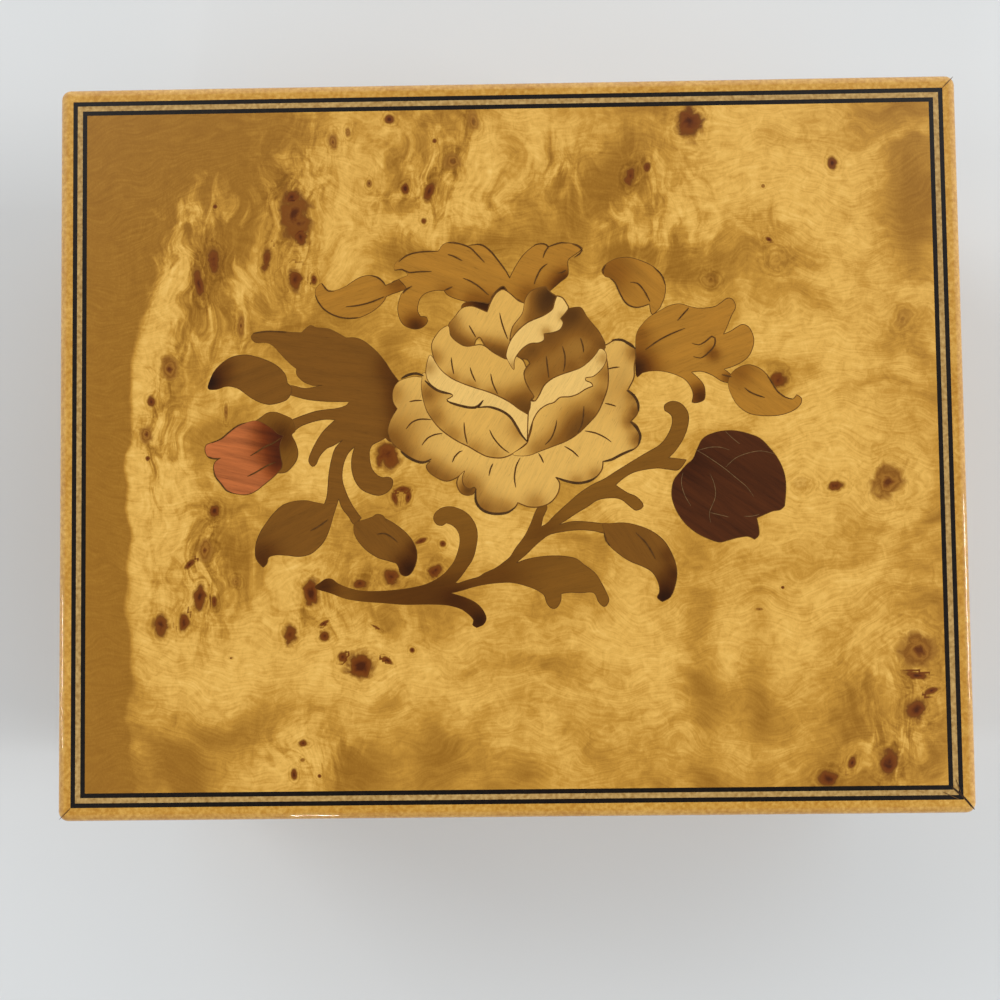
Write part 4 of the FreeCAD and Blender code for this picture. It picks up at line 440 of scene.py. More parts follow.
ROSE = [
    # dark top l
    ("pale_walnut", 10,
     "-7.6 23.5, -6.4 23.9, -4.8 23.8, -3.2 23.6, -2.6 24.9, -1.3 26.2, -0.7 26.3 / -0.2 25.5, -0.8 25.8, "
     "-1.7 25.5, -2.5 24.6, -3.1 23.4, -3.6 22 / -4.5 22.4, -6.1 23, -7.7 22.7",
     "-4 24 4 1, -1 26 2 1"),
    # dark top r
    ("pale_walnut", 10,
     "0 25.2, 0.6 24.6, 1.9 23.9, 2.6 23.3, 3.1 24.6, 3.8 25.5 / 3.5 25.2, 2.9 23.6 / 2.5 23.5, 1.6 23.9",
     "2 24 3 1"),
    # skirt
    ("skirt", 62,
     "-18.5 10.6, -17.2 11.2, -15.7 11.5, -14.3 11.4, -13.7 12.1 / -11.6 7.6, -9 2.8, -4.5 -0.1, 0 -0.7, "
     "4.8 -0.1, 8.9 2.1, 12.8 5.7, 15.4 10.8, 15.7 16.2 / 16.2 16.4, 17.6 17.1, 19.2 16.9, 20.5 16.1, "
     "20.9 14.6, 20.6 12.7, 20.5 10.8, 19.5 8.8 / 20.5 7.9, 21.2 6.5, 21 4.9, 19.9 3.6 / 20.9 2.8, "
     "21.4 1.3, 21.2 -0.1, 20.2 -1.1, 18.2 -1.9, 16.6 -2.7, 15.2 -3 / 15 -4.3, 14.1 -5.5, 12.8 -6.2, "
     "11.2 -6.5, 9.3 -6.2, 7.4 -5.5 / 8 -6.5, 7.7 -8.1, 6.5 -9.6, 4.8 -10.3, 2.9 -10.3, 1.1 -9.6 / "
     "0.6 -10.4, -0.4 -11.1, -2 -11.3, -3.7 -11.2, -5 -10.5, -5.7 -9.2, -5.8 -7.2 / -7.1 -7.2, -8 -6.5, "
     "-8 -5.2, -7.6 -4.3 / -9 -5.4, -10.6 -5.9, -12.2 -5.3, -13.5 -4.3, -13.9 -3.3, -13.2 -2.6 / "
     "-14.8 -2.6, -16.5 -1.9, -18.1 -0.7, -19.6 0.7, -20.2 2.5, -19.7 4.4, -18.6 6.2 / -19.3 7.4, "
     "-19.3 9.2",
     "-20 1.2 3.4 0.57, -17.6 -1.6 2.4 0.47, -13.6 -4.4 2.6 0.61, -10.6 -5.8 2 0.47, -7.2 -7 2.4 0.54, "
     "-19.4 8.8 2 0.34, -4.6 -10.6 2.4 0.54, -1 -11 2 0.41, 4 -10 2 0.34, 21 5 1.6 0.68, 21.2 .6 1.6 0.61, "
     "14 -5.4 1.6 0.34, 20.9 15 1.6 0.54, 18 9 5 0.16, -16 4 4 0.16, 20.4 8 1.2 0.47, 19.6 3.4 1.2 0.47, "
     "10.8 -6.4 1.4 0.34"),
    # crescent
    ("petal", 50,
     "-7.6 -4.2 / -8.5 -5.1, -8.9 -6.2, -8.5 -7.5, -7.6 -8.2, -6.3 -8.1, -5.7 -7.3 / -6 -7, -6.9 -7.2, "
     "-7.7 -6.7, -8 -5.5",
     "-7 -7.5 2 0.8"),
    # petal d
    ("petal", 55,
     "9.8 22.4, 11.2 22.7, 12.1 22.5, 12.9 21.1, 13.9 19.8, 14.9 18.5, 15.7 16.9, 15.9 15.8 / 14.9 15.4, "
     "13.3 13.5, 11.8 12.4, 10.2 11.9, 8.6 11.4, 7 10.6, 5.7 9.5, 4.9 7.9, 4.1 7.1, 3.6 7.5 / 3.2 9.2, "
     "2.6 10.5, 2.4 11.8, 2.8 12.7, 3.4 13.4 / 2.9 14.1, 1.9 14.1, 1.1 13.4, 0.7 12.3 / 0.6 13.5, 1.2 15, "
     "2.2 16.1, 3.5 16.9, 4.9 17.1, 5.6 17.4 / 5.7 18.5, 7.3 18.8, 8.4 19.1, 8.8 20.2 / 8.6 20.9, 9.3 21.8",
     "10.6 21.8 3.6 .8, 8.6 20.4 2.6 .5, 14 19 2.4 .5, 15.6 16.2 1.8 .65, 13.6 14 1.8 .5, "
     "10.4 12.4 1.8 .35, 6 10.6 2.4 .35, 1.5 13.6 1.8 .7, 3.6 15.6 2 .6, 6.5 17.6 2.2 .5, 8 14 7 .42, "
     "3 9.6 1.8 .3"),
    # petal b
    ("pale_petal", 60,
     "-10 20, -9 21.3, -7.7 22.8, -6.1 23.1, -4.5 22.5, -3.6 22.1 / -3.1 23.4, -2.5 24.6, -1.7 25.5, "
     "-0.8 25.8, 0.3 25.1, 1.6 23.9, 2.6 23.5 / 3.2 21.7, 2.2 19.5, 0.6 17.2, -0.2 15.9, -0.5 14.1 / "
     "-1.3 14.5, -2.6 15.3, -3.9 16.4, -4.4 17.2 / -4.9 17.9, -5.6 17.2, -5.7 15.9 / -7.1 16.4, -8.7 17.2, "
     "-9.7 18.4",
     "-10.6 18.6 2.2 .6, -8.6 17 2 .6, -6.6 16 1.9 .6, -4.2 16.6 1.4 .4, -1 14.6 2.4 .75, "
     "-2.8 15.4 1.8 .5, -9.6 20.8 1.6 .3"),
    # petal c
    ("pale_petal", 65,
     "2.6 23.5, 3 24.6, 3.8 25.5, 5.1 26, 6.2 26.2 / 7 25.2, 8 24.5 / 7.7 23.1, 7 22, 5.4 21.2, 4.1 20.7, "
     "2.9 20, 1.2 18.5, 0.1 17.2 / 0.6 19.5, 2.2 21.7",
     "7 24.6 3 .95, 6 22.4 2.4 .7, 3.6 20.6 1.8 .5, 1.4 18.4 1.6 .5, 5 24.5 2.2 .4"),
    # petal a
    ("petal", 60,
     "-10 19.8, -11.1 19.4, -12.1 18.3, -12.8 16.9, -12.7 15.3, -12.2 13.8, -11.2 12.4, -9.6 11.1, "
     "-7.7 10.2, -5.8 9.5, -3.9 8.9, -2 8.1, 0 7, 1.6 5.8, 3.1 4.9 / 3.4 6.2, 3.6 7.5 / 4 7.9, 3.2 9.2, "
     "2.6 10.5, 2.4 11.9, 2.8 12.7 / 2.2 14, 0.6 15 / -0.4 14.2, -2.6 15.3, -4.5 16.6, -7.1 16.4, "
     "-8.7 17.2, -9.7 18.3",
     "3.2 5.4 3.4 .75, 0.5 6.6 2.6 .5, -3 8 1.6 .4, -6.5 9.4 1.5 .4, -9.6 10.8 1.5 .4, -12.6 14.6 1.6 .4, "
     "3.4 9 1.6 .25"),
    # bowl left
    ("petal", 58,
     "-14.5 11.1, -14.6 9.5, -14.3 7.6, -13.7 5.7, -12.7 4.1, -11.6 2.8, -10 1.5, -8.4 0.5, -6.8 -0.3, "
     "-5.5 -1.1, -3.9 -1.9, -2 -2.2, -0.7 -2, 0.4 -1.5 / 1.7 -0.6, 2.9 0.4 / 3.2 2.5, 0.6 6.3, -5.8 8.9, "
     "-10.6 10.5, -14 12.1",
     "-13.6 8.5 1.9 .5, -12.6 4.6 2 .45, -9.6 1.6 1.8 .35, -6 -.8 1.8 .3, 1.8 2.6 2.2 .3, -11 10 1.8 .25, "
     "-2.6 -1.8 1.6 .25"),
    # bowl right
    ("petal", 58,
     "0.4 -1.5, 1.6 -1.9, 3.2 -1.8, 4.8 -1.2, 7 -0.4, 9.3 0.5, 11.2 1.7, 12.9 3.3, 14.4 5, 15.5 7.3, "
     "16.2 9.5, 16.3 12.1, 15.9 15 / 13.4 12.1, 7 8.9, 3.2 4.4, 2.9 0.4",
     "13 3.6 3 .6, 10.4 1.4 2.6 .6, 7.4 0 2.2 .45, 15.4 7.6 2 .5, 16 11.6 1.8 .45, 4.6 -1 1.8 .35, "
     "11 3.8 3 .3"),
    # fold top
    ("pale", 60,
     "-0.4 14.3, -0.4 15.4, 0 16.7, 0.6 17.8, 1.6 19, 2.9 20.1, 4.1 20.7, 5.4 21.2, 6.5 21.8, 7.3 22.5, "
     "7.6 23.6, 8 24.6 / 8.9 24.3, 9.6 23.3, 9.9 22.5, 9.3 21.6, 8.6 20.8 / 9 20.1, 8.5 19, 7.3 18.5, "
     "5.8 18.3 / 5.8 17.3, 4.9 16.8, 3.5 16.7, 2.2 15.9, 1.2 14.7, 0.8 13.7, 0.7 12.4",
     "0.6 12.8 1.2 .3, 6.2 18.6 .9 .35, 9 21 .8 .3"),
    # rim left
    ("pale", 58,
     "-13.2 15, -12.7 14.7, -12.2 13.8, -11.2 12.4, -9.6 11.1, -7.7 10.2, -5.8 9.5, -3.9 8.9, -2 8.1, 0 7, "
     "1.6 5.8, 3.1 4.9 / 3.4 6, 4 5.7 / 3.5 2.5, 2.8 0.4 / 1.8 1.8, 1 3.3, -0.2 4.7, -1.6 5.6, -3.2 6.2, "
     "-5.3 6.2 / -4.4 7.4 / -5.4 6.5, -6.8 6.2, -8.4 6.6, -9.8 7, -10.4 7.6 / -9.4 8.3, -10.9 8.8, "
     "-12.2 9.5, -13.3 10.5, -13.8 11.8, -13.7 13.4",
     "-13.4 13 1.4 0.3"),
    # rim right
    ("pale", 58,
     "15 15.7, 14.4 14.9, 13.3 13.7, 11.8 12.6, 10.2 12, 8.6 11.5, 7 10.8, 5.7 9.7, 4.9 8.2, 4.2 7.2, "
     "3.4 7.2 / 3.3 6, 3 4.9, 2.8 0.4 / 3.3 2.5, 4 4.4, 4.9 5.7, 6.1 6.5, 7.3 6.9, 8.3 7.7, 9.9 7.8, "
     "11.2 8.2, 12.5 9, 13.7 9.5 / 13.5 10, 12.6 10.4 / 12.6 10.9, 13.8 11.1, 14.9 12, 15.7 13, 16.1 14.3, "
     "15.8 15.3",
     "15.6 14 1.2 0.3"),
]

# The lines between and across the pieces: width in millimetres, colour, and the lines with a / between them.
LINES = [
    (0.24, (86, 54, 20),
     "-6.6 19.9, -6.1 19, -5.5 17.9 / -1.5 21.9, -1.2 20.4, -0.7 18.8, -0.2 17.5 / -9.6 14.6, -9.5 13.4, "
     "-9.2 11.8 / -6.5 12.9, -6.2 11.8, -5.6 10.5 / -3.1 11.8, -2.8 10.2, -2 8.4 / 6.1 14.6, 6.3 12.7, "
     "6.5 11 / 8.8 16.2, 9.2 14.6, 9.1 12.7, 8.9 12 / 11.8 17.5, 12.2 16.2, 12.3 15.1 / -7.6 3.8, "
     "-7.5 2.1, -7.1 0.2 / -3.4 2.5, -2.8 1.2, -1.5 -0.4, -0.2 -1.4 / 7.7 3.9, 7.4 2.5, 6.7 0.9, "
     "5.7 -0.1 / 12.2 6.2, 12.1 4.7, 11.8 3.1, 11.1 1.8 / -16.6 7.3, -15.7 7.5, -14.5 7.5 / -17.2 2.8, "
     "-16.2 3.9, -14.8 4.4, -13 4.3 / -14.6 0.1, -13.7 1.2, -12.5 1.8, -11.2 2 / -9.6 -2.8, -9.2 -1.9, "
     "-8.4 -1.1, -7.9 -0.9 / -3.6 -5.1, -3.3 -3.9, -2.9 -3.1 / 0.8 -7.1, 0.6 -5.5, 0.9 -3.6, 1.6 -2.2 / "
     "4.6 -1.5, 5.1 -2.3, 5.4 -3.1 / 8.9 -0.4, 10.2 -1.2, 11.2 -2.2 / 12.3 2.1, 14.1 1.7, 15.7 0.9, "
     "16.6 0.2 / 15.7 6.6, 16.6 6.4, 17.5 6.1 / 16.3 12.3, 17.1 12.5, 18.2 12.6 / -43 -1.3, -41.8 -0.6, "
     "-40.5 0.2, -39.1 0.8, -37.8 1.7 / -43.5 -4.7, -42.2 -4.1, -40.3 -3, -38.8 -2.4 / -49.4 0.9, "
     "-47.8 1.6, -46.7 2.5, -45.1 3.7, -43.7 4.2 / -49.1 -3.2, -48.8 -4.6, -47.8 -5.9, -46.9 -7, "
     "-45.6 -7.5 / -48 -1.7, -49 -1.7, -50.1 -1.3 / -33.1 -13.8, -31.6 -13, -30.2 -12 / -22.1 -14.5, "
     "-20.8 -14.4, -19.6 -15.1, -18.7 -15.9 / -42.5 19.1, -39.9 19.4, -36.9 19.2 / -27 23.3, -25 23.5, "
     "-22.9 24, -20.6 24.9 / -31 27.3, -30.5 26.6, -29.9 26, -28.9 26 / -22.9 28.5, -21.8 28.2, "
     "-20.9 27.5, -20.4 26.8 / -32.1 25.4, -31.6 24.2, -30.7 23, -29.2 22, -27.1 21.4, -25 21.5 / "
     "-18.9 29.3, -17.6 29.4, -16.5 28.9, -14.6 29, -12.7 29 / -10 31.8, -9 31.5, -7.6 30.7 / -10.1 33.8, "
     "-8.1 33.6, -6.3 32.9, -5.1 31.7, -3.9 30.4 / -6.3 33.3, -4.5 33.4, -3 32.4, -1.8 30.9, -0.5 29.1, "
     "0.3 27.7 / -16 26.6, -17 26, -17.5 25.4 / -18.2 30.7, -16.7 31.8, -14.6 32.3, -11.6 32.4 / "
     "-9.3 26.4, -10.6 25.8 / -7.5 27.8, -6.3 27.3, -4.8 26.3, -3.3 24.9 / 4.4 33.2, 5.5 33.4, 6.4 33.2, "
     "6.7 32.8, 6.2 32.1, 5.8 31 / 6.7 32.8, 7.7 33.2, 8.9 33.5, 9.9 33.4 / 10.7 33.2, 11.6 32.9, "
     "12.3 32.2, 11.9 31.6, 11 31 / 6.5 30, 5.4 29.1, 4.5 27.3, 4.3 26.6 / 8.2 28.4, 8.9 28.5, 9.6 28.9 / "
     "16.8 27.5, 17.7 26.6, 18.4 25, 19.2 23.5, 20.2 22.7, 21.6 22.5, 23.2 23 / 20.2 26.7, 21.4 26.5, "
     "22.5 25.2, 23.4 23.4 / 15.8 28.2, 15.7 28.8, 16.2 29.7 / 24.1 29.2, 25.4 27.8, 26 26.1 / 29.8 22.3, "
     "28.9 21.3, 27.9 20.2 / 22.5 15.4, 24.5 16.8, 26.6 17.9, 29.1 18.9 / 30.2 16.4, 31.3 16.1, 32.5 16.7, "
     "33.5 17.5, 34 17.2, 33.9 16, 32.9 14.8, 31.6 13.9, 30.4 14.2 / 38.7 8.9, 39.5 8.2, 40.8 7.6, "
     "42 7.2 / 42.5 10.8, 43.3 9.5, 44.1 8.2, 45.4 7.2, 46.6 6.9 / 15.2 -14.8, 15.5 -16, 16.2 -17 / "
     "20.4 -14.8, 21.8 -16.2, 22.9 -17.9, 23.5 -19.1 / 35 11.1, 35.8 10.9, 36.6 10.7"),
    (0.42, (74, 48, 20),
     "-14 10.8, -12.9 9.8, -11.6 9, -9.6 8.5 / -10.4 7.4, -9.6 7, -8 6.5, -6.4 6.2, -5.2 6.4, -4.4 7.4 / "
     "-5.3 6.2, -3.6 6.3, -1.6 5.7, 0 4.6, 1.1 2.9, 1.9 1.5, 2.8 0.4 / -17.9 11.2, -16.7 11.8, -15.4 12, "
     "-14.2 11.6 / -18.1 -0.9, -16.7 -2, -15.1 -2.7, -14 -2.7, -13.1 -2.2 / 19.3 8.7, 20.4 7.9, 21.1 6.6, "
     "21.2 5.2 / 19.8 3.5, 20.8 2.5, 21.4 1.2, 21.1 -0.3 / 17 17.1, 18.6 17.1, 19.8 16.4, 20.9 15.6 / "
     "-5.8 -7.3, -5.8 -9.2, -5 -10.5, -3.7 -11.2, -2 -11.4, -0.4 -11.1, 0.8 -10.2 / 7.4 -5.5, 9.3 -6.2, "
     "11.2 -6.5, 13.1 -6.1, 14.2 -5.4 / 15.2 -3, 16.6 -2.7, 18.2 -1.9, 20.3 -1"),
    (0.1, (112, 84, 52),
     "30.4 -1.2, 32.5 -2.5, 35 -4.3, 37 -6, 38.7 -7.5, 39.8 -9.1 / 35.4 1.7, 36.6 0.5, 37.7 -0.4 / "
     "35.3 -4.2, 37 -2.7, 39.1 -1.9, 41.2 -1.6, 43.3 -2.1 / 32.7 -5.2, 33.4 -7, 33.5 -9.1, 32.5 -11.6, "
     "32.7 -13.3 / 32.5 -11.6, 34.1 -12, 35.7 -12.4 / 38.1 -12.3, 39.5 -12.3, 40.7 -12 / 28.3 -5, 28 -6.6, "
     "28.5 -8.7, 29.5 -10.5 / 30.8 -1.4, 32.7 -0.9, 34.5 -0.9, 36 -1.4"),
]


# ---------------------------------------------------------------- meshes of the lid's face

# colours of the veneers, 0 to 255
TINTS = {
    "stem": (124, 80, 22), "walnut": (120, 76, 22), "pale_walnut": (170, 116, 38),
    "red_wood": (176, 97, 50), "rosewood": (74, 36, 12),
    "skirt": (219, 171, 86), "petal": (214, 165, 80), "pale_petal": (216, 167, 82), "pale": (229, 186, 106),
}


def add_mesh(name, points, faces, material, body, smooth=False):
    """A piece from points in millimetres, riding on a body."""
    mesh = bpy.data.meshes.new(name)
    mesh.from_pydata([tuple(c * MM for c in p) for p in points], [], faces)
    mesh.materials.append(material)
    mesh.polygons.foreach_set("use_smooth", [smooth] * len(faces))
    piece = bpy.data.objects.new(name, mesh)
    bpy.context.scene.collection.objects.link(piece)
    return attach(piece, body)


def give(mesh, name, values):
    """Stores one number, vector or colour for each point of the mesh."""
    values = np.asarray(values, dtype=np.float32)
    kind, key = {1: ("FLOAT", "value"), 2: ("FLOAT_VECTOR", "vector")}[values.ndim]
    mesh.attributes.new(name, kind, "POINT").data.foreach_set(key, values.ravel())


def net(columns, lines):
    """The square faces of a grid of points that lie line after line."""
    return [(r * columns + c, r * columns + c + 1, (r + 1) * columns + c + 1, (r + 1) * columns + c)
            for r in range(lines - 1) for c in range(columns - 1)]


def add_burr():
    """The burr veneer, a fine grid whose points carry the figure."""
    xs = np.linspace(-SHEET_X, SHEET_X, GRID_X)
    ys = np.linspace(-SHEET_Y, SHEET_Y, GRID_Y)
    x, y = (a.ravel() for a in np.meshgrid(xs, ys))
    piece = add_mesh("burr_sheet", np.stack([x, y, np.full(x.shape, TOP)], 1),
                     net(GRID_X, GRID_Y), burr_material(), "lid")
    for name, values in burr_fields(x, y).items():
        give(piece.data, name, values)
    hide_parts("burr_veneer")


def outline(text, step=0.3):
    """A closed line through the points, with a corner at each / and smooth elsewhere."""
    runs = [rows(run) for run in text.split("/")]
    points = [Vector(p) for run in runs for p in run]
    corners = {sum(len(r) for r in runs[:n + 1]) - 1 for n in range(len(runs) - 1)}
    return trace(points, corners, step, closed=True)


def trace(points, corners, step, closed=False):
    """A line through the points: Catmull-Rom curves, with sharp turns at the corners."""
    count, line = len(points), []
    for i in range(count if closed else count - 1):
        here, after = points[i], points[(i + 1) % count]
        starts = i in corners or (i == 0 and not closed)
        ends = (i + 1) % count in corners or (i == count - 2 and not closed)
        before = here if starts else points[i - 1]
        beyond = after if ends else points[(i + 2) % count]
        squared = 2 * before - 5 * here + 4 * after - beyond
        cubed = 3 * here - before - 3 * after + beyond
        steps = max(1, round((after - here).length / step))
        for n in range(steps):
            t = n / steps
            line.append(0.5 * (2 * here + (after - before) * t + squared * t**2 + cubed * t**3))
    return line if closed else line + [points[-1]]


def filled(line, spacing):
    """Triangles that fill a closed line, with points inside it to carry the scorching."""
    xs, ys = [p.x for p in line], [p.y for p in line]
    grid = [Vector((x, y)) for x in np.arange(min(xs), max(xs), spacing)
            for y in np.arange(min(ys), max(ys), spacing)]
    made = delaunay_2d_cdt(line + grid, [], [list(range(len(line)))], 1, 1e-4)
    return made[0], made[2]


def shadows(x, y, text):
    """How far hot sand has scorched the veneer at each point, 0 to 1."""
    left = np.ones(x.shape)
    for cx, cy, radius, strength in rows(text):
        left *= 1 - np.minimum(0.98, strength * np.exp(-(((x - cx) ** 2 + (y - cy) ** 2) / radius**2)))
    return 1 - left


# millimetres that the cut pieces and the engraved lines lie above the burr, and the pieces above each other
STEM_LIFT, BUD_LIFT, ROSE_LIFT, ENGRAVED_LIFT = 0.002, 0.022, 0.026, 0.05
STEP = 0.0015


def add_inlay(name, parts, material, lift):
    """Several cut pieces of veneer as one object. Each lies a hair above the one before."""
    points, faces, tints, grains, scorches = [], [], [], [], []
    for index, (tint, angle, line, spots) in enumerate(parts):
        found, triangles = filled(outline(line), 0.7)
        start = len(points)
        height = TOP + lift + STEP * index
        points += [(p.x, p.y, height) for p in found]
        faces += [tuple(start + v for v in triangle) for triangle in triangles]
        x, y = np.array([p.x for p in found]), np.array([p.y for p in found])
        c, s = math.cos(math.radians(angle)), math.sin(math.radians(angle))
        grains.append(np.stack([x * c + y * s, y * c - x * s, np.full(x.shape, 7.3 * index)], 1))
        tints.append(np.tile(rgb(*TINTS[tint])[:3], (len(found), 1)))
        scorches.append(shadows(x, y, spots))
    piece = add_mesh(name, points, faces, material, "lid")
    give(piece.data, "grain", np.concatenate(grains))
    give(piece.data, "tint", np.concatenate(tints))
    give(piece.data, "scorch", np.concatenate(scorches))


def inlay_material(name, streaks):
    """Straight-grained veneer under lacquer. streaks is how dark its grain is drawn."""
    s = Shader(name, roughness=0.5, coat=1.0, specular=0.1)
    grain = s.attribute("grain", "Vector")
    fine = s.noise(s.scaled(grain, (0.35, 5.0, 1)), detail=3, rough=0.65)
    broad = s.noise(s.scaled(grain, (0.07, 0.8, 1)), detail=4, rough=0.6, distortion=0.4)
    pores = s.noise(s.scaled(grain, (0.9, 9, 1)), detail=1)
    shade = s.total(0.725 - streaks / 2, (fine, 0.55), (broad, streaks), (s.span(pores, 0.62, 0.8), -0.28))
    plain = s.times(s.attribute("tint", "Vector"), shade)
    ragged = s.total(s.attribute("scorch"), (fine, 0.16), -0.08)
    burnt = s.ramp(ragged, (0.0, (255, 255, 255)), (0.25, (210, 196, 172)), (0.55, (158, 133, 98)),
                   (0.85, (104, 84, 62)), (1.0, (74, 58, 46)))
    s.link(s.mix(1.0, plain, burnt, "MULTIPLY"), "Base Color")
    return s.material


# The mitres of the bands at three corners, with slips of the knife by the one at the front right.
MITRES = [
    (0.13, (88, 52, 18),
     "72.6 58.6, 74.4 60.4 / -72.6 -58.6, -74.4 -60.4"),
    (0.3, (52, 32, 14),
     "70.6 -56.4, 72.6 -58.2, 74.3 -60.2"),
    (0.12, (96, 66, 30),
     "71.4 -55.2, 72.2 -57.6 / 69.2 -57.3, 72 -58.6"),
]


def add_lines():
    """The glue joints round the pieces and the engraved lines, as thin ribbons that narrow to their ends."""
    drawn = []
    for parts, width, colour, lift in ((ROSE, 0.2, (104, 66, 22), ROSE_LIFT),
                                       (BUDS, 0.12, (92, 58, 20), BUD_LIFT),
                                       (STEM_AND_LEAVES, 0.12, (92, 58, 20), STEM_LIFT)):
        for n, part in enumerate(parts):
            edge = outline(part[2])
            drawn.append((width, colour, edge + edge[:1], lift + STEP * (n + 0.5)))
    for width, colour, texts in LINES + MITRES:
        for text in texts.split("/"):
            drawn.append((width, colour, trace([Vector(p) for p in rows(text)], set(), 0.5), ENGRAVED_LIFT))
    points, faces, colours = [], [], []
    for width, colour, line, lift in drawn:
        start = len(points)
        for n, p in enumerate(line):
            ahead = line[min(n + 1, len(line) - 1)] - line[max(n - 1, 0)]
            side = Vector((-ahead.y, ahead.x)).normalized()
            half = width / 2 * min(1.0, 0.35 + 3 * min(n, len(line) - 1 - n) / len(line))
            points += [(*(p + side * half), TOP + lift), (*(p - side * half), TOP + lift)]
        colours += [rgb(*colour)[:3]] * (2 * len(line))
        faces += [(start + 2 * n, start + 2 * n + 1, start + 2 * n + 3, start + 2 * n + 2)
                  for n in range(len(line) - 1)]
    s = Shader("glue_lines", roughness=0.5, coat=1.0, specular=0.1)
    worn = s.span(s.noise(s.place(), 1.4, detail=3), 0.3, 0.7, 0.75, 1.3)
    s.link(s.times(s.attribute("tint", "Vector"), worn), "Base Color")
    piece = add_mesh("inlay_lines", points, faces, s.material, "lid")
    give(piece.data, "tint", colours)


add_burr()
add_inlay("stem_and_leaves", STEM_AND_LEAVES, inlay_material("walnut_inlay", 0.5), STEM_LIFT)
add_inlay("buds", BUDS, inlay_material("bud_inlay", 1.5), BUD_LIFT)
add_inlay("rose", ROSE, inlay_material("rose_inlay", 0.22), ROSE_LIFT)
add_lines()


# ---------------------------------------------------------------- finishes of the CAD pieces


def banding_wood():
    """Figured maple under lacquer, with short bright flecks."""
    s = Shader("banding_lacquered", roughness=0.45, coat=1.0, specular=0.1)
    place = s.place()
    flecks = s.noise(s.scaled(place, (1.5, 1.5, 0.6)), detail=3, rough=0.55)
    cloud = s.noise(s.scaled(place, (0.12, 0.12, 0.3)), detail=3)
    fine = s.noise(place, 5.0, detail=2)
    tone = s.total((flecks, 0.95), (cloud, 0.4), (fine, 0.3), -0.32)
    s.link(s.ramp(tone, (0.1, (160, 100, 22)), (0.45, (190, 137, 52)), (0.75, (216, 168, 82)),
                  (0.95, (246, 208, 124))), "Base Color")
    return s.material


def line_wood(name, dark, light):
    s = Shader(name, roughness=0.45, coat=1.0, specular=0.1)
    s.tinted(dark, light, 1.6, 3)
    return s.material


def plain_wood(name, dark, light, stretch):
    """Straight-grained wood. stretch shrinks the pattern along each axis, least across the grain."""
    s = Shader(name, roughness=0.55)
    place = s.place()
    bent = s.shifted(place, s.scaled(s.noise(place, 0.03, output="Color"), (9, 9, 9)))
    rings = s.noise(s.scaled(bent, stretch), detail=5, rough=0.6, distortion=0.3)
    pores = s.noise(s.scaled(bent, tuple(4 * v for v in stretch)), detail=2)
    tone = s.total((rings, 0.8), (pores, 0.35), -0.08)
    s.link(s.ramp(tone, (0.25, dark), (0.75, light)), "Base Color")
    s.bump(pores, 0.15, 0.00005)
    return s.material


def side_burr():
    """The burr on the sides: scattered small eyes in clouds of wavy grain."""
    s = Shader("side_burr_lacquered", roughness=0.45, coat=1.0, specular=0.1)
    place = s.place()
    bent = s.shifted(place, s.scaled(s.noise(place, 0.09, detail=3, output="Color"), (10, 10, 10)))
    wave = s.noise(s.scaled(bent, (0.09, 0.09, 0.22)), detail=5, rough=0.55, distortion=1.2)
    mottle = s.noise(place, 0.22, detail=5, rough=0.6, distortion=1.0)
    fine = s.noise(s.scaled(bent, (0.5, 0.5, 4)), detail=3)
    where = s.span(s.noise(place, 0.05, detail=2), 0.5, 0.62)
    spot = s.cells(s.shifted(place, s.scaled(s.noise(place, 0.8, output="Color"), (0.9, 0.9, 0.9))), 0.17)
    tone = s.total((wave, 0.95), (mottle, 0.4), (fine, 0.22), -0.3,
                   (s.maths("MULTIPLY", s.span(spot, 0.55, 0.25), where), 0.25))
    wood = s.ramp(tone, (0.05, (124, 76, 18)), (0.35, (164, 113, 34)), (0.6, (200, 148, 60)),
                  (0.95, (236, 190, 98)))
    eye = s.ramp(spot, (0.0, (96, 48, 18)), (0.12, (140, 82, 34)), (0.2, (86, 46, 18)))
    s.link(s.mix(s.maths("MULTIPLY", s.span(spot, 0.24, 0.15), where), wood, eye), "Base Color")
    return s.material


def cloth(name, dark, light, sheen, scale, bump=0.25):
    s = Shader(name, roughness=0.95, sheen=sheen, specular=0.2)
    s.set("Sheen Roughness", 0.45)
    s.set("Sheen Tint", rgb(*light))
    place = s.place()
    pile = s.noise(place, scale, detail=3, rough=0.7)
    brushed = s.noise(s.scaled(place, (0.05, 0.16, 0.16)), detail=4, distortion=0.8)
    s.link(s.ramp(s.total((pile, 0.5), (brushed, 0.6), -0.05), (0.25, dark), (0.8, light)), "Base Color")
    s.bump(pile, bump, 0.00015)
    return s.material


def metal(name, dark, light, roughness, scale, bump=0.1):
    s = Shader(name, roughness=roughness, metallic=1.0)
    place = s.place()
    cloud = s.noise(place, scale, detail=5, rough=0.6)
    s.link(s.ramp(cloud, (0.1, dark), (0.9, light)), "Base Color")
    s.link(s.span(cloud, 0.2, 0.8, roughness * 0.9, min(1.0, roughness * 1.15)), "Roughness")
    s.bump(s.noise(place, scale * 4, detail=2), bump, 0.00003)
    return s.material


def mirror_glass():
    s = Shader("silvered_glass", roughness=0.02, metallic=1.0)
    s.tinted((226, 232, 234), (238, 241, 243), 0.03, 2)
    return s.material


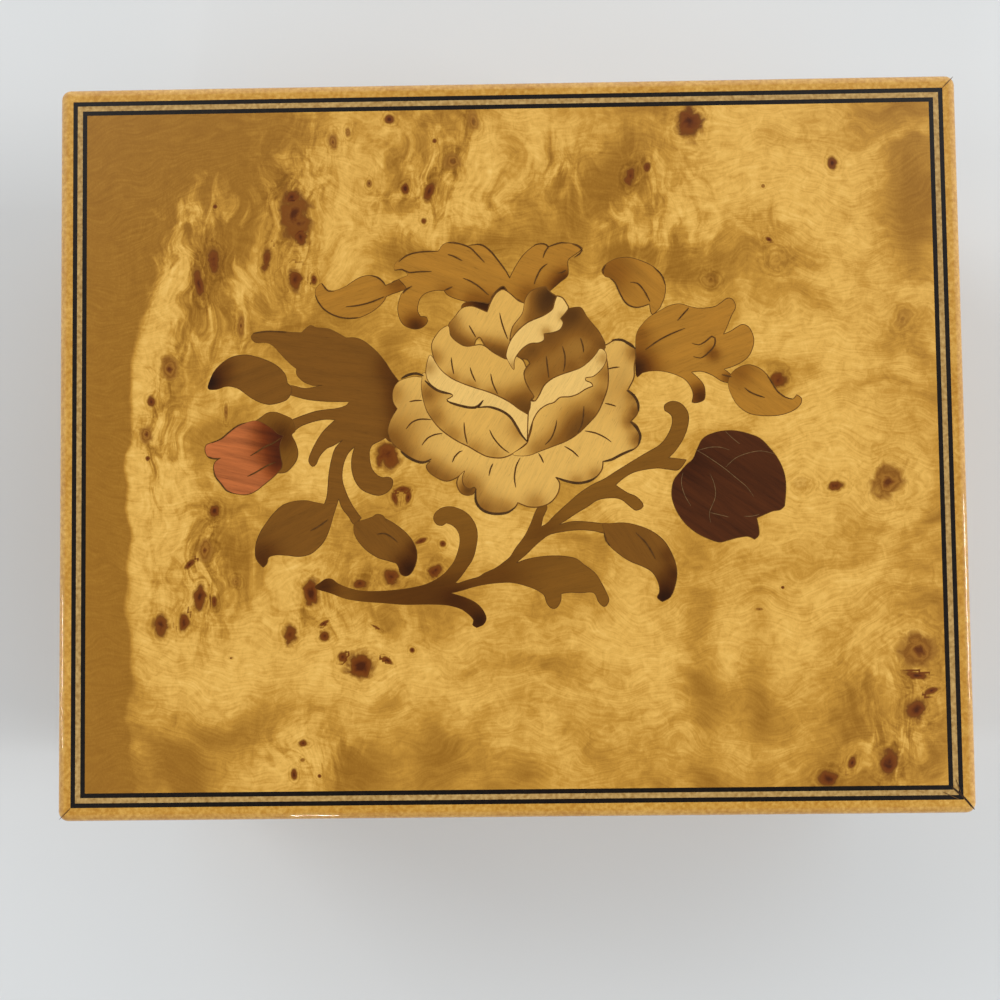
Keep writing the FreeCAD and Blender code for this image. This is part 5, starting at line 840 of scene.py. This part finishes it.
def clear_sheet():
    """Clear plastic: mostly see-through, with a faint tint and reflections at a slant."""
    s = Shader("clear_sheet", roughness=0.06, specular=0.6)
    s.tinted((214, 222, 226), (226, 232, 235), 0.05, 2)
    clear = s.tree.nodes.new("ShaderNodeBsdfTransparent")
    clear.inputs["Color"].default_value = (0.93, 0.95, 0.95, 1)
    edge = s.node("ShaderNodeLayerWeight", {"Blend": 0.25}, "Facing")
    both = s.tree.nodes.new("ShaderNodeMixShader")
    s.tree.links.new(s.span(edge, 0.0, 1.0, 0.04, 0.35), both.inputs["Fac"])
    s.tree.links.new(clear.outputs[0], both.inputs[1])
    s.tree.links.new(s.surface.outputs[0], both.inputs[2])
    s.tree.links.new(both.outputs[0], s.tree.nodes["Material Output"].inputs["Surface"])
    return s.material


def moulded(name, dark, light, roughness):
    s = Shader(name, roughness=roughness)
    s.tinted(dark, light, 0.5, 4)
    return s.material


FINISHES = {
    "side_burr": side_burr(),
    "burr_veneer": line_wood("burr_edge", (160, 112, 52), (206, 158, 86)),
    "core_wood": plain_wood("solid_beech", (168, 122, 74), (206, 164, 112), (0.05, 0.05, 0.9)),
    "panel_wood": plain_wood("plywood_face", (176, 138, 90), (214, 180, 130), (0.04, 0.6, 0.6)),
    "banding_wood": banding_wood(),
    "black_line": line_wood("dyed_black_line", (14, 9, 6), (26, 18, 12)),
    "light_line": line_wood("pale_line", (150, 112, 56), (196, 160, 98)),
    "velvet": cloth("velvet", (66, 7, 14), (132, 20, 34), 0.6, 5.0),
    "felt": cloth("felt", (22, 38, 28), (46, 66, 52), 0.2, 3.0),
    "lining_paper": cloth("flocked_lining", (70, 9, 16), (120, 20, 32), 0.4, 7.0, 0.15),
    "mirror": mirror_glass(),
    "clear_plastic": clear_sheet(),
    "brass": metal("brass", (176, 132, 56), (214, 172, 88), 0.24, 0.6),
    "steel": metal("steel", (150, 152, 156), (190, 192, 196), 0.3, 0.8),
    "blued_steel": metal("spring_steel", (70, 76, 92), (112, 116, 130), 0.3, 0.6),
    "plated_casting": metal("plated_casting", (172, 134, 70), (206, 170, 104), 0.42, 1.2, 0.3),
    "nylon": moulded("nylon", (206, 203, 194), (224, 221, 212), 0.5),
}
for made in nodes.values():
    slot = made.data.materials[0].name.split(".")[0]
    made.data.materials.clear()
    made.data.materials.append(FINISHES[slot])


# ---------------------------------------------------------------- velvet pads


def add_pad():
    """The velvet pad in the big tray: domed, soft at its edges and flat below."""
    low, high = (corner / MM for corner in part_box("jewel_tray_pad"))
    count, height, rounding = 61, 2.6, 2.2  # points a side, and millimetres
    points = []
    for v in np.linspace(0, 1, count):
        for u in np.linspace(0, 1, count):
            x, y = low.x + (high.x - low.x) * u, low.y + (high.y - low.y) * v
            edge = min(x - low.x, high.x - x, y - low.y, high.y - y)
            plump = 0.2 * math.sin(math.pi * u) * math.sin(math.pi * v)
            ripple = 0.05 * math.sin(x * 0.45 + 2 * math.sin(y * 0.12)) * math.sin(y * 0.37)
            rise = height * min(1.0, edge / rounding) ** 0.5
            points.append((x, y, low.z + rise + plump + ripple * min(1.0, edge / 6)))
    faces = net(count, count)
    last = count * (count - 1)  # the first point of the back row
    rim = [*range(count), *range(2 * count - 1, last, count), *range(last + count - 1, last - 1, -1),
           *range(last - count, 0, -count)]
    faces.append(tuple(reversed(rim)))
    pad = add_mesh("velvet_pad", points, faces, FINISHES["velvet"], "case", smooth=True)
    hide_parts("jewel_tray_pad")


def add_rolls():
    """Four stuffed rolls between which rings are pushed, with gathered ends."""
    low, high = (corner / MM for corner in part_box("ring_rolls"))
    around, along, radius = 40, 50, 6.2  # points, points and millimetres
    middles = (-46.7, -33.6, -20.5, -7.4)
    for index, y in enumerate(middles):
        points, faces = [], []
        for n in range(along + 1):
            t = n / along
            end = min(t, 1 - t) * (high.x - low.x)
            swell = (1 - (1 - min(1.0, end / 3.0)) ** 2) ** 0.5
            for k in range(around):
                angle = 2 * math.pi * k / around
                crease = 0.12 * math.sin(angle * 7 + index) * max(0.0, 1 - end / 9)
                wave = 0.08 * math.sin(t * 31 + 2 * math.sin(angle * 2 + index))
                r = (radius - 0.2 + crease + wave) * max(0.12, swell)
                points.append((low.x + (high.x - low.x) * t, y + r * math.cos(angle),
                               low.z + radius + r * math.sin(angle)))
        for n in range(along):
            for k in range(around):
                a, b = n * around + k, n * around + (k + 1) % around
                faces.append((a, b, b + around, a + around))
        faces += [tuple(range(around))[::-1], tuple(along * around + k for k in range(around))]
        roll = add_mesh(f"velvet_roll_{index + 1}", points, faces, FINISHES["velvet"], "case", smooth=True)
        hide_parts("ring_rolls")


add_pad()
add_rolls()


# ---------------------------------------------------------------- floor, light and camera


def add_floor():
    """A plain pale floor, 6 m square."""
    mesh = bpy.data.meshes.new("floor")
    mesh.from_pydata([(-3, -3, 0), (3, -3, 0), (3, 3, 0), (-3, 3, 0)], [], [(0, 1, 2, 3)])
    s = Shader("pale_floor", roughness=0.6)
    s.tinted((214, 216, 217), (218, 220, 221), 0.01, 2)
    mesh.materials.append(s.material)
    floor = bpy.data.objects.new("floor", mesh)
    bpy.context.scene.collection.objects.link(floor)


LAMP_AIM = Vector((0, 0, 0.06))  # the middle of the lid, in metres


def add_light(name, place, size, watts, seen=True):
    """A flat lamp aimed at the lid. seen is whether it shows as a bright shape in the lacquer."""
    light = bpy.data.lights.new(name, "AREA")
    light.shape, light.size, light.size_y, light.energy = "RECTANGLE", size[0], size[1], watts
    lamp = bpy.data.objects.new(name, light)
    lamp.location = place
    lamp.visible_glossy = seen
    lamp.rotation_euler = (LAMP_AIM - Vector(place)).to_track_quat("-Z", "Y").to_euler()
    bpy.context.scene.collection.objects.link(lamp)


def add_world():
    """A soft dome: bright round the sides, most of all behind and to the right, and dim straight above."""
    world = bpy.data.worlds.new("studio")
    world.use_nodes = True
    tree = world.node_tree
    s = Nodes(tree)
    towards = s.node("ShaderNodeTexCoord", {}, "Generated")
    height = s.node("ShaderNodeVectorMath", {0: towards, 1: (0, 0, 1)}, "Value", operation="DOT_PRODUCT")
    side = s.node("ShaderNodeVectorMath", {0: towards, 1: (0.3, 0.95, 0)}, "Value", operation="DOT_PRODUCT")
    glow = s.maths("MULTIPLY", s.span(height, 0.97, 0.72), s.total(0.95, (side, 0.5)))
    background = tree.nodes["Background"]
    background.inputs["Color"].default_value = (0.96, 0.985, 1.0, 1)
    tree.links.new(s.total(0.05, (glow, 0.94)), background.inputs["Strength"])
    bpy.context.scene.world = world


def add_camera():
    """Held above the box and tipped a little, as a hand would hold it."""
    camera = bpy.data.objects.new("camera", bpy.data.cameras.new("camera"))
    camera.data.lens, camera.data.sensor_width = 39.6, 36
    camera.data.clip_start, camera.data.clip_end = 0.01, 20
    camera.location = (0.00023, -0.01686, 0.24277)
    camera.rotation_euler = [math.radians(a) for a in (2.443, 0.682, -0.706)]
    bpy.context.scene.collection.objects.link(camera)
    bpy.context.scene.camera = camera
    bpy.context.scene.view_settings.view_transform = "Standard"


add_floor()
add_world()
add_light("fill_right", (2.2, -0.3, 1.2), (0.9, 0.9), 20, seen=False)
add_light("fill_left", (-1.7, 1.1, 1.2), (0.9, 0.9), 12, seen=False)
add_light("strip_right", (2.2, -0.13, 1.1), (0.44, 0.06), 12)
add_light("strip_left", (-2.2, -0.27, 1.1), (0.34, 0.05), 7)
add_light("strip_front", (-0.45, -2.2, 1.1), (0.13, 0.05), 3)
add_camera()
